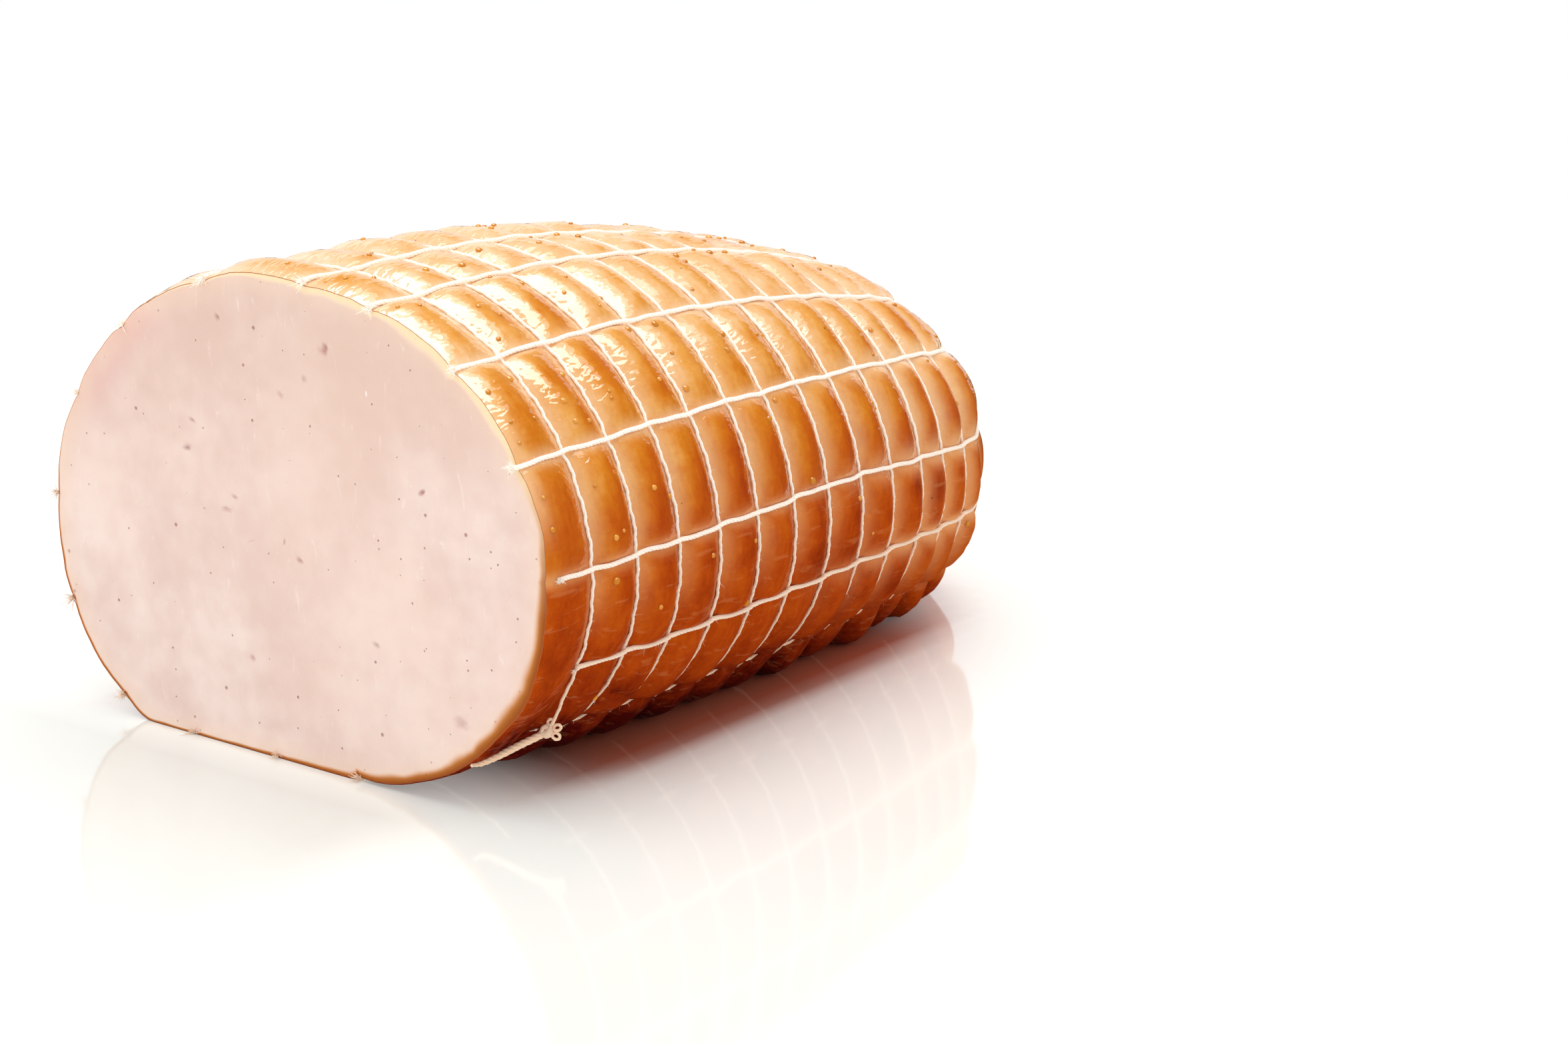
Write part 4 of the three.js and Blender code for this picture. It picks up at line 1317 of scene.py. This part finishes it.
def sliced_colour(tree, place, across):
    """Pale pink with soft clouds, greyer high up, with faint lighter fibres, pores of three sizes,
    painted glints on the right, and a pinker patch beside the rim at the upper left. With it
    come the clouds, the fibres and the small pores themselves."""
    clouds = mottled(tree, place, 26.0, 6.0, 0.35)
    colour = mixed(tree, clouds, tint(229, 201, 191), tint(242, 221, 212))
    warm = between(tree, noise(tree, place, 60.0, 1.0), 0.4, 0.7, 0.0, 0.45)
    colour = mixed(tree, warm, colour, tint(236, 206, 190))
    colour = mixed(tree, between(tree, across["Z"], 0.05, 0.13, 0.0, 0.5), colour, tint(218, 184, 166))
    threads = noise(tree, stretched(tree, place, (4.0, 1.0, 1.0), (0, 0.5, 0)), 9.0, 5.0, 0.65, 0.8)
    colour = mixed(tree, between(tree, threads, 0.6, 0.76, 0.0, 0.5), colour, tint(248, 230, 222))
    face = stretched(tree, place, (1.0, 1.0, 1.0), (math.pi / 2, 0, 0))
    pores = specked(tree, FLAT_SPECKS, face, 15.0, 0.032, 0.4)
    colour = mixed(tree, times(tree, pores, 0.75), colour, tint(170, 112, 104))
    tiny = specked(tree, FLAT_SPECKS, face, 8.0, 0.034, 0.3)
    colour = mixed(tree, times(tree, tiny, 0.7), colour, tint(140, 92, 86))
    # Painted glints: small bright white flecks that stand in for wet highlights on the right
    glint_place = stretched(tree, face, (1.0, 0.4, 1.0), (0, 0, 0.6))
    painted_glints = specked(tree, FLAT_SPECKS, glint_place, 7.0, 0.07, 0.3)
    painted_glints = times(tree, painted_glints, between(tree, across["X"], 0.0, 0.05))
    painted_glints = times(tree, painted_glints, between(tree, noise(tree, face, 22.0, 1.0), 0.48, 0.6))
    colour = mixed(tree, times(tree, painted_glints, 0.8), colour, tint(255, 250, 245))
    colour = mixed(tree, times(tree, mark(tree, "pore"), 0.85), colour, tint(176, 104, 100))
    blush = times(tree, between(tree, across["X"], -0.025, -0.06), between(tree, across["Z"], 0.07, 0.1))
    blush = times(tree, blush, between(tree, mark(tree, "from_rim"), 16.0, 2.0))
    patches = between(tree, noise(tree, place, 12.0, 2.0), 0.38, 0.6, 0.2, 0.7)
    colour = mixed(tree, times(tree, blush, patches), colour, tint(226, 176, 172))
    return colour, clouds, threads, sums(tree, "MAXIMUM", pores, tiny)


def rind_width(tree, place, across, lowness):
    """Width of the rind in mm: 0.9 at the least and 3.2 more where it is heaviest, at the lower
    right and then at the upper right, and least at the left, with noise that goes in and out."""
    right = between(tree, across["X"], -0.02, 0.09)
    high_right = times(tree, between(tree, across["Z"], 0.08, 0.11), between(tree, across["X"], -0.03, 0.02))
    high_left = times(tree, between(tree, across["Z"], 0.03, 0.08), between(tree, across["X"], -0.02, -0.06))
    heavy = times(tree, right, 0.35)
    parts = ((times(tree, lowness, right), 0.85), (lowness, 0.15), (high_right, 0.6), (high_left, -0.16))
    for part, share in parts:
        heavy = sums(tree, "MULTIPLY_ADD", part, share, heavy)
    uneven = sums(tree, "MULTIPLY_ADD", noise(tree, place, 14.0, 1.0), 1.2, 0.4)
    return times(tree, sums(tree, "MULTIPLY_ADD", heavy, 3.2, 0.9), uneven)


def cut_material():
    """Sliced meat, and the rind seen edge-on at its rim, which is thicker and darker low down and
    has a fine brown edge."""
    material, tree, shader, place = new_material("sliced_meat")
    across = add(tree, "SeparateXYZ", {"Vector": place}).outputs
    colour, clouds, threads, small_pores = sliced_colour(tree, place, across)
    from_rim = mark(tree, "from_rim")
    halo = between(tree, from_rim, 9.0, 1.0, 0.0, 0.4)
    colour = mixed(tree, halo, colour, tint(240, 210, 186))
    width = rind_width(tree, place, across, between(tree, across["Z"], 0.095, 0.02))
    rind_depth = between(tree, from_rim, width, 0.0)
    high_rind = mixed(tree, rind_depth, tint(246, 222, 194), tint(250, 222, 178))
    low_rind = mixed(tree, rind_depth, tint(222, 144, 56), tint(156, 76, 12))
    rind_colour = mixed(tree, between(tree, across["Z"], 0.105, 0.055), high_rind, low_rind)
    at_ground = between(tree, across["Z"], 0.02, 0.004)
    edge_tint = mixed(tree, at_ground, tint(170, 88, 40), tint(112, 44, 18))
    rind_colour = mixed(tree, between(tree, from_rim, 0.3, 0.1), rind_colour, edge_tint)
    rind = between(tree, from_rim, width, times(tree, width, 0.4))
    colour = mixed(tree, rind, colour, rind_colour)
    normal = bumped(tree, noise(tree, place, 1.1, 3.0, 0.6), 0.05, 0.7)
    normal = bumped(tree, threads, 0.12, 0.5, normal)
    normal = bumped(tree, small_pores, -0.25, 0.8, normal)
    roughness = between(tree, clouds, 0.0, 1.0, 0.42, 0.56)
    set_inputs(tree, shader, {
        "Base Color": colour, "Roughness": roughness, "Normal": normal, "IOR": 1.4,
        "Subsurface Weight": 0.3, "Subsurface Radius": (1.0, 0.5, 0.36), "Subsurface Scale": 0.003,
        "Coat Weight": 0.12, "Coat Roughness": 0.3,
    })  # fmt: skip
    return material


def twine_material():
    """Cream cotton: painted shade in the grooves between its plies, stained by the meat in places,
    painted warm shade low down, a fibrous surface, and a painted glow that grows with height."""
    material, tree, shader, place = new_material("cotton_twine")
    crease = mark(tree, "crease")
    fibres_seen = noise(tree, place, 0.35, 3.0, 0.6)
    stain = mottled(tree, place, 22.0, 3.0, 0.3)
    # Painted shade: darker and warmer where the crease mark is high, in the grooves between the plies
    colour = mixed(tree, times(tree, crease, 0.8), tint(255, 248, 238), tint(230, 204, 180))
    colour = mixed(tree, times(tree, stain, 0.2), colour, tint(246, 222, 194))
    colour = mixed(tree, between(tree, fibres_seen, 0.55, 0.75, 0.0, 0.25), colour, tint(255, 250, 240))
    height = add(tree, "SeparateXYZ", {"Vector": place}).outputs["Z"]
    # Painted glow: the twine emits a little light, more the higher it is
    painted_twine_glow = between(tree, height, 0.04, 0.12, 0.05, 0.2)
    # Painted warm shade: darker and warmer low down, near the ground
    low = between(tree, height, 0.085, 0.01, 0.0, 0.75)
    colour = mixed(tree, low, colour, tint(244, 190, 142))
    normal = bumped(tree, fibres_seen, 0.08, 0.8)
    normal = bumped(tree, crease, -0.12, 0.6, normal)
    set_inputs(tree, shader, {
        "Base Color": colour, "Roughness": 0.82, "Normal": normal, "IOR": 1.45,
        "Specular IOR Level": 0.35,
        "Subsurface Weight": 0.35, "Subsurface Radius": (1.0, 0.9, 0.8), "Subsurface Scale": 0.0015,
        "Sheen Weight": 0.25, "Sheen Roughness": 0.5,
        "Emission Color": tint(255, 244, 230), "Emission Strength": painted_twine_glow,
    })  # fmt: skip
    return material


def bead_material():
    """Beads of amber juice, darker in some than in others, wet and smooth."""
    material, tree, shader, place = new_material("amber_juice")
    shade = between(tree, noise(tree, place, 12.0, 1.0), 0.35, 0.65)
    set_inputs(tree, shader, {
        "Base Color": mixed(tree, shade, tint(236, 164, 74), tint(210, 134, 46)),
        "Roughness": 0.1, "IOR": 1.38,
        "Subsurface Weight": 0.25, "Subsurface Radius": (1.0, 0.5, 0.2), "Subsurface Scale": 0.001,
        "Coat Weight": 0.6, "Coat Roughness": 0.04,
    })  # fmt: skip
    return material


def floor_material():
    """Plain pale floor with a soft gloss and a painted glow that lightens its shade, except close to the
    roast, where a painted warm shadow and reflection of the brown crust darkens it. It fades out far from the
    roast."""
    material, tree, shader, _ = new_material("pale_floor")
    # Painted light: the nearness mark tints the floor with a painted warm shadow and reflection of the crust,
    # and its emission is a painted glow
    colour = mixed(tree, mark(tree, "nearness"), tint(208, 211, 206), tint(212, 100, 60))
    set_inputs(tree, shader, {
        "Base Color": colour, "Roughness": 0.08, "IOR": 1.8, "Alpha": mark(tree, "presence"),
        "Emission Color": tint(255, 254, 250), "Emission Strength": mark(tree, "painted_glow"),
    })  # fmt: skip
    return material


# The pieces

crust_look = crust_material()
cut_look = cut_material()
twine_look = twine_material()

meat, cut_faces = meat_surface()
looks = [crust_look, cut_look]
make_piece("netted_meat", meat, looks, ["roast"], sharp=CRUST_CORNER, second=cut_faces)

string_parts, end_parts = [], []
for index in range(STRINGS):
    path, out = string_path(index)
    string_parts.append(strand(path, out, STRING_RADIUS * THIN_STRINGS.get(index, 1)))
    end_parts.append(frayed_end(path, *FRAYS.get(index, USUAL_FRAY), 100 + 3 * index))
    end_parts.append(fuzz(path, out, STRING_FUZZ, 300 + 3 * index))
ring_parts = []
for ring in range(len(RINGS)):
    path, out = ring_path(ring)
    ring_parts.append(strand(path, out, RING_RADIUS, closed=ring > 0, **RING_PLIES))
    end_parts.append(fuzz(path, out, RING_FUZZ, 400 + 3 * ring))
make_piece("lengthwise_strings", joined(string_parts), [twine_look], ["net"])
make_piece("net_rings", joined(ring_parts), [twine_look], ["net"])
make_piece("string_fibres", joined(end_parts), [twine_look], ["net"])
make_piece("knotted_string", loose_surface(), [twine_look], ["loose_string"])
make_piece("tied_tuft", tuft_surface(), [twine_look], ["end_tuft"])
make_piece("juice_beads", bead_surface(), [bead_material()])

# The studio

FLOOR_HALF = 2.6  # m
FLOOR_LINES = 161
FLOOR_EVEN_SHARE = 0.12  # share of the lines' spacing that is even, the rest grows with the distance
# Painted light on the floor: a warm dark tint near the right flank stands in for its contact shadow and the
# reflected brown crust, and a glow lightens the rest
FLOOR_WARM_SHADOW = [(0.5, 8.0), (0.4, 25.0)]  # share and reach in mm, close to the roast and farther off
FLOOR_WARM_SHADOW_FROM = (-10, 65)  # mm behind the cut between which it comes in
FLOOR_WARM_SHADOW_TO = (170, 240)  # and between which most of it goes again
LOWEST_STRINGS = (6, 11)  # on the right and on the left, which say where the roast ends
FLOOR_WARM_SHADOW_LOSS = 0.7
# painted glow of the floor, which lightens its shade
FLOOR_PAINTED_GLOW = 0.3
FLOOR_FULL_WARM_SHADOW = 0.8  # painted warm shadow at which there is no painted glow
FLOOR_SHADE = 0.7  # share of the painted glow that is lost at the foot of the cut, as painted shade
FLOOR_SHADE_REACH = 85.0  # mm in front of the cut
FLOOR_SHADE_FROM = (1, 9)
FLOOR_SHADE_SIDE = (42, 75)  # mm to the right between which it ends
FLOOR_SHADE_HALF = 40.0  # mm either way that the cut stands on the floor
FLOOR_FADE = (500.0, 1000.0)  # mm from the middle between which the floor fades into the white surround


def floor_surface():
    """A square grid whose lines stand closer near the roast, as the share's cube, with three marks.
    The first is a painted warm shadow and reflection of the crust near the right flank,
    share * exp(-(d / reach)^2) close to it and share * exp(-d / reach) farther off, at the distance d
    from its lowest string, which is 0 beneath the roast. It is none in front of the cut and little
    beside the far end. The second is the floor's own painted glow, which lightens its shade, less
    where the painted warm shadow is, and less in front of the cut by shade * exp(-(f / reach)^2) at a
    distance f from its foot, as painted shade. The third is 1 near the middle and 0 where the floor has faded
    out."""
    share = np.linspace(-1, 1, FLOOR_LINES)
    line = FLOOR_HALF / MM * (FLOOR_EVEN_SHARE * share + (1 - FLOOR_EVEN_SHARE) * share**3)
    grid = np.stack(np.meshgrid(line, line, indexing="ij"), -1).reshape(-1, 2)
    across, behind_cut = grid[:, 0], grid[:, 1] - SHIFT[1]
    along = np.linspace(0, LENGTH, 120)
    right, left = [skin(string_angle(i, along), along)[:, :2] + SHIFT[:2] for i in LOWEST_STRINGS]
    distance = np.sqrt(((grid[:, None] - right[None]) ** 2).sum(-1).min(1))
    beneath = across < np.interp(grid[:, 1], right[:, 1], right[:, 0])
    beneath &= across > np.interp(grid[:, 1], left[:, 1], left[:, 0])
    distance = np.where(beneath & (behind_cut > 0) & (behind_cut < LENGTH), 0, distance)
    (close_share, close), (far_share, far) = FLOOR_WARM_SHADOW
    painted_warm_shadow = close_share * nearness(distance, close) + far_share * np.exp(-distance / far)
    painted_warm_shadow = painted_warm_shadow * smoothstep(behind_cut, *FLOOR_WARM_SHADOW_FROM)
    painted_warm_shadow = painted_warm_shadow * (1 - FLOOR_WARM_SHADOW_LOSS * smoothstep(behind_cut, *FLOOR_WARM_SHADOW_TO))
    from_foot = np.hypot(behind_cut, np.maximum(0, np.abs(across) - FLOOR_SHADE_HALF))
    shade = FLOOR_SHADE * smoothstep(-behind_cut, *FLOOR_SHADE_FROM)
    shade = shade * (1 - smoothstep(across, *FLOOR_SHADE_SIDE)) * nearness(from_foot, FLOOR_SHADE_REACH)
    painted_glow = FLOOR_PAINTED_GLOW * (1 - smoothstep(painted_warm_shadow, 0, FLOOR_FULL_WARM_SHADOW)) * (1 - shade)
    presence = 1 - smoothstep(np.hypot(across, grid[:, 1]), *FLOOR_FADE)
    number = np.arange(FLOOR_LINES**2).reshape(FLOOR_LINES, FLOOR_LINES)
    corners = [number[:-1, :-1], number[1:, :-1], number[1:, 1:], number[:-1, 1:]]
    points = np.concatenate([grid * MM, np.zeros((len(grid), 1))], 1)
    # nearness holds the painted warm shadow and reflection of the crust
    marks = {"nearness": painted_warm_shadow, "painted_glow": painted_glow, "presence": presence}
    return points, np.stack(corners, -1).reshape(-1, 4), marks


floor_points, floor_quads, floor_marks = floor_surface()
floor_mesh = bpy.data.meshes.new("floor")
floor_mesh.from_pydata(floor_points, [], floor_quads)
for name, values in floor_marks.items():
    layer = floor_mesh.attributes.new(name, "FLOAT", "POINT")
    layer.data.foreach_set("value", values.astype(np.float32))
floor_mesh.materials.append(floor_material())
floor = bpy.data.objects.new("floor", floor_mesh)
bpy.context.scene.collection.objects.link(floor)
floor.visible_glossy = False

SUNS = [
    # name, direction that the light comes from, its strength, how wide it is in degrees
    ("overhead", (-0.05, -0.05, 1.0), 1.0, 60),
    ("front", (-0.25, -1.0, 0.35), 0.5, 40),
]
for name, direction, strength, width in SUNS:
    lamp = bpy.data.lights.new(name, "SUN")
    lamp.energy = strength
    lamp.angle = math.radians(width)
    holder = bpy.data.objects.new(name, lamp)
    holder.rotation_euler = Vector(direction).to_track_quat("Z", "Y").to_euler()
    holder.visible_glossy = False
    bpy.context.scene.collection.objects.link(holder)

PANELS = [
    # name, middle in m, what it faces, its width and height in m, and how bright it is
    ("softbox", (-0.05, -0.44, 3.0), (-0.05, -0.44, 0.0), 3.6, 1.44, 12.0),
    ("far softbox", (-0.05, 0.62, 3.0), (-0.05, 0.62, 0.0), 3.6, 0.64, 3.5),
    ("backdrop", (-1.95, 2.6, 1.0), (0.0, 0.0, 0.9), 5.0, 2.2, 1.0),
]
for name, middle, faced, width, height, brightness in PANELS:
    lamp = bpy.data.lights.new(name, "AREA")
    lamp.shape = "RECTANGLE"
    lamp.size = width
    lamp.size_y = height
    lamp.energy = math.pi * width * height * brightness
    holder = bpy.data.objects.new(name, lamp)
    holder.location = middle
    holder.rotation_euler = (Vector(middle) - Vector(faced)).to_track_quat("Z", "Y").to_euler()
    holder.visible_camera = False
    holder.visible_diffuse = False
    bpy.context.scene.collection.objects.link(holder)

SURROUND_LIT = 0.95  # how strongly the white surround lights things, where 1 is how it is seen
SURROUND_MIRRORED = 0.03  # and how strongly it is mirrored in them, as dark flags would leave it
world = bpy.data.worlds.new("white_surround")
world.use_nodes = True
sky = world.node_tree
ray = add(sky, "LightPath").outputs
seen = sums(sky, "MULTIPLY_ADD", ray["Is Camera Ray"], 1 - SURROUND_LIT, SURROUND_LIT)
strength = sums(sky, "MULTIPLY_ADD", ray["Is Glossy Ray"], SURROUND_MIRRORED - SURROUND_LIT, seen)
sky.nodes["Background"].inputs["Color"].default_value = (1.0, 1.0, 1.0, 1.0)
sky.links.new(strength, sky.nodes["Background"].inputs["Strength"])
bpy.context.scene.world = world
bpy.context.scene.view_settings.view_transform = "Standard"

# The camera, from the photo's own view
CAMERA_PLACE = np.array([569.93, -540.03, 279.16])
CAMERA_TURN = math.radians(36.72)
CAMERA_DROP = math.radians(15.26)
LENS = 68.9
SENSOR = 36.0
FARTHEST_SEEN = 50  # m
camera_data = bpy.data.cameras.new("camera")
camera_data.sensor_width = SENSOR
camera_data.lens = LENS
camera_data.clip_end = FARTHEST_SEEN
camera = bpy.data.objects.new("camera", camera_data)
camera.location = Vector((CAMERA_PLACE + SHIFT) * MM)
camera.rotation_euler = (math.pi / 2 - CAMERA_DROP, 0.0, CAMERA_TURN)
bpy.context.scene.collection.objects.link(camera)
bpy.context.scene.camera = camera
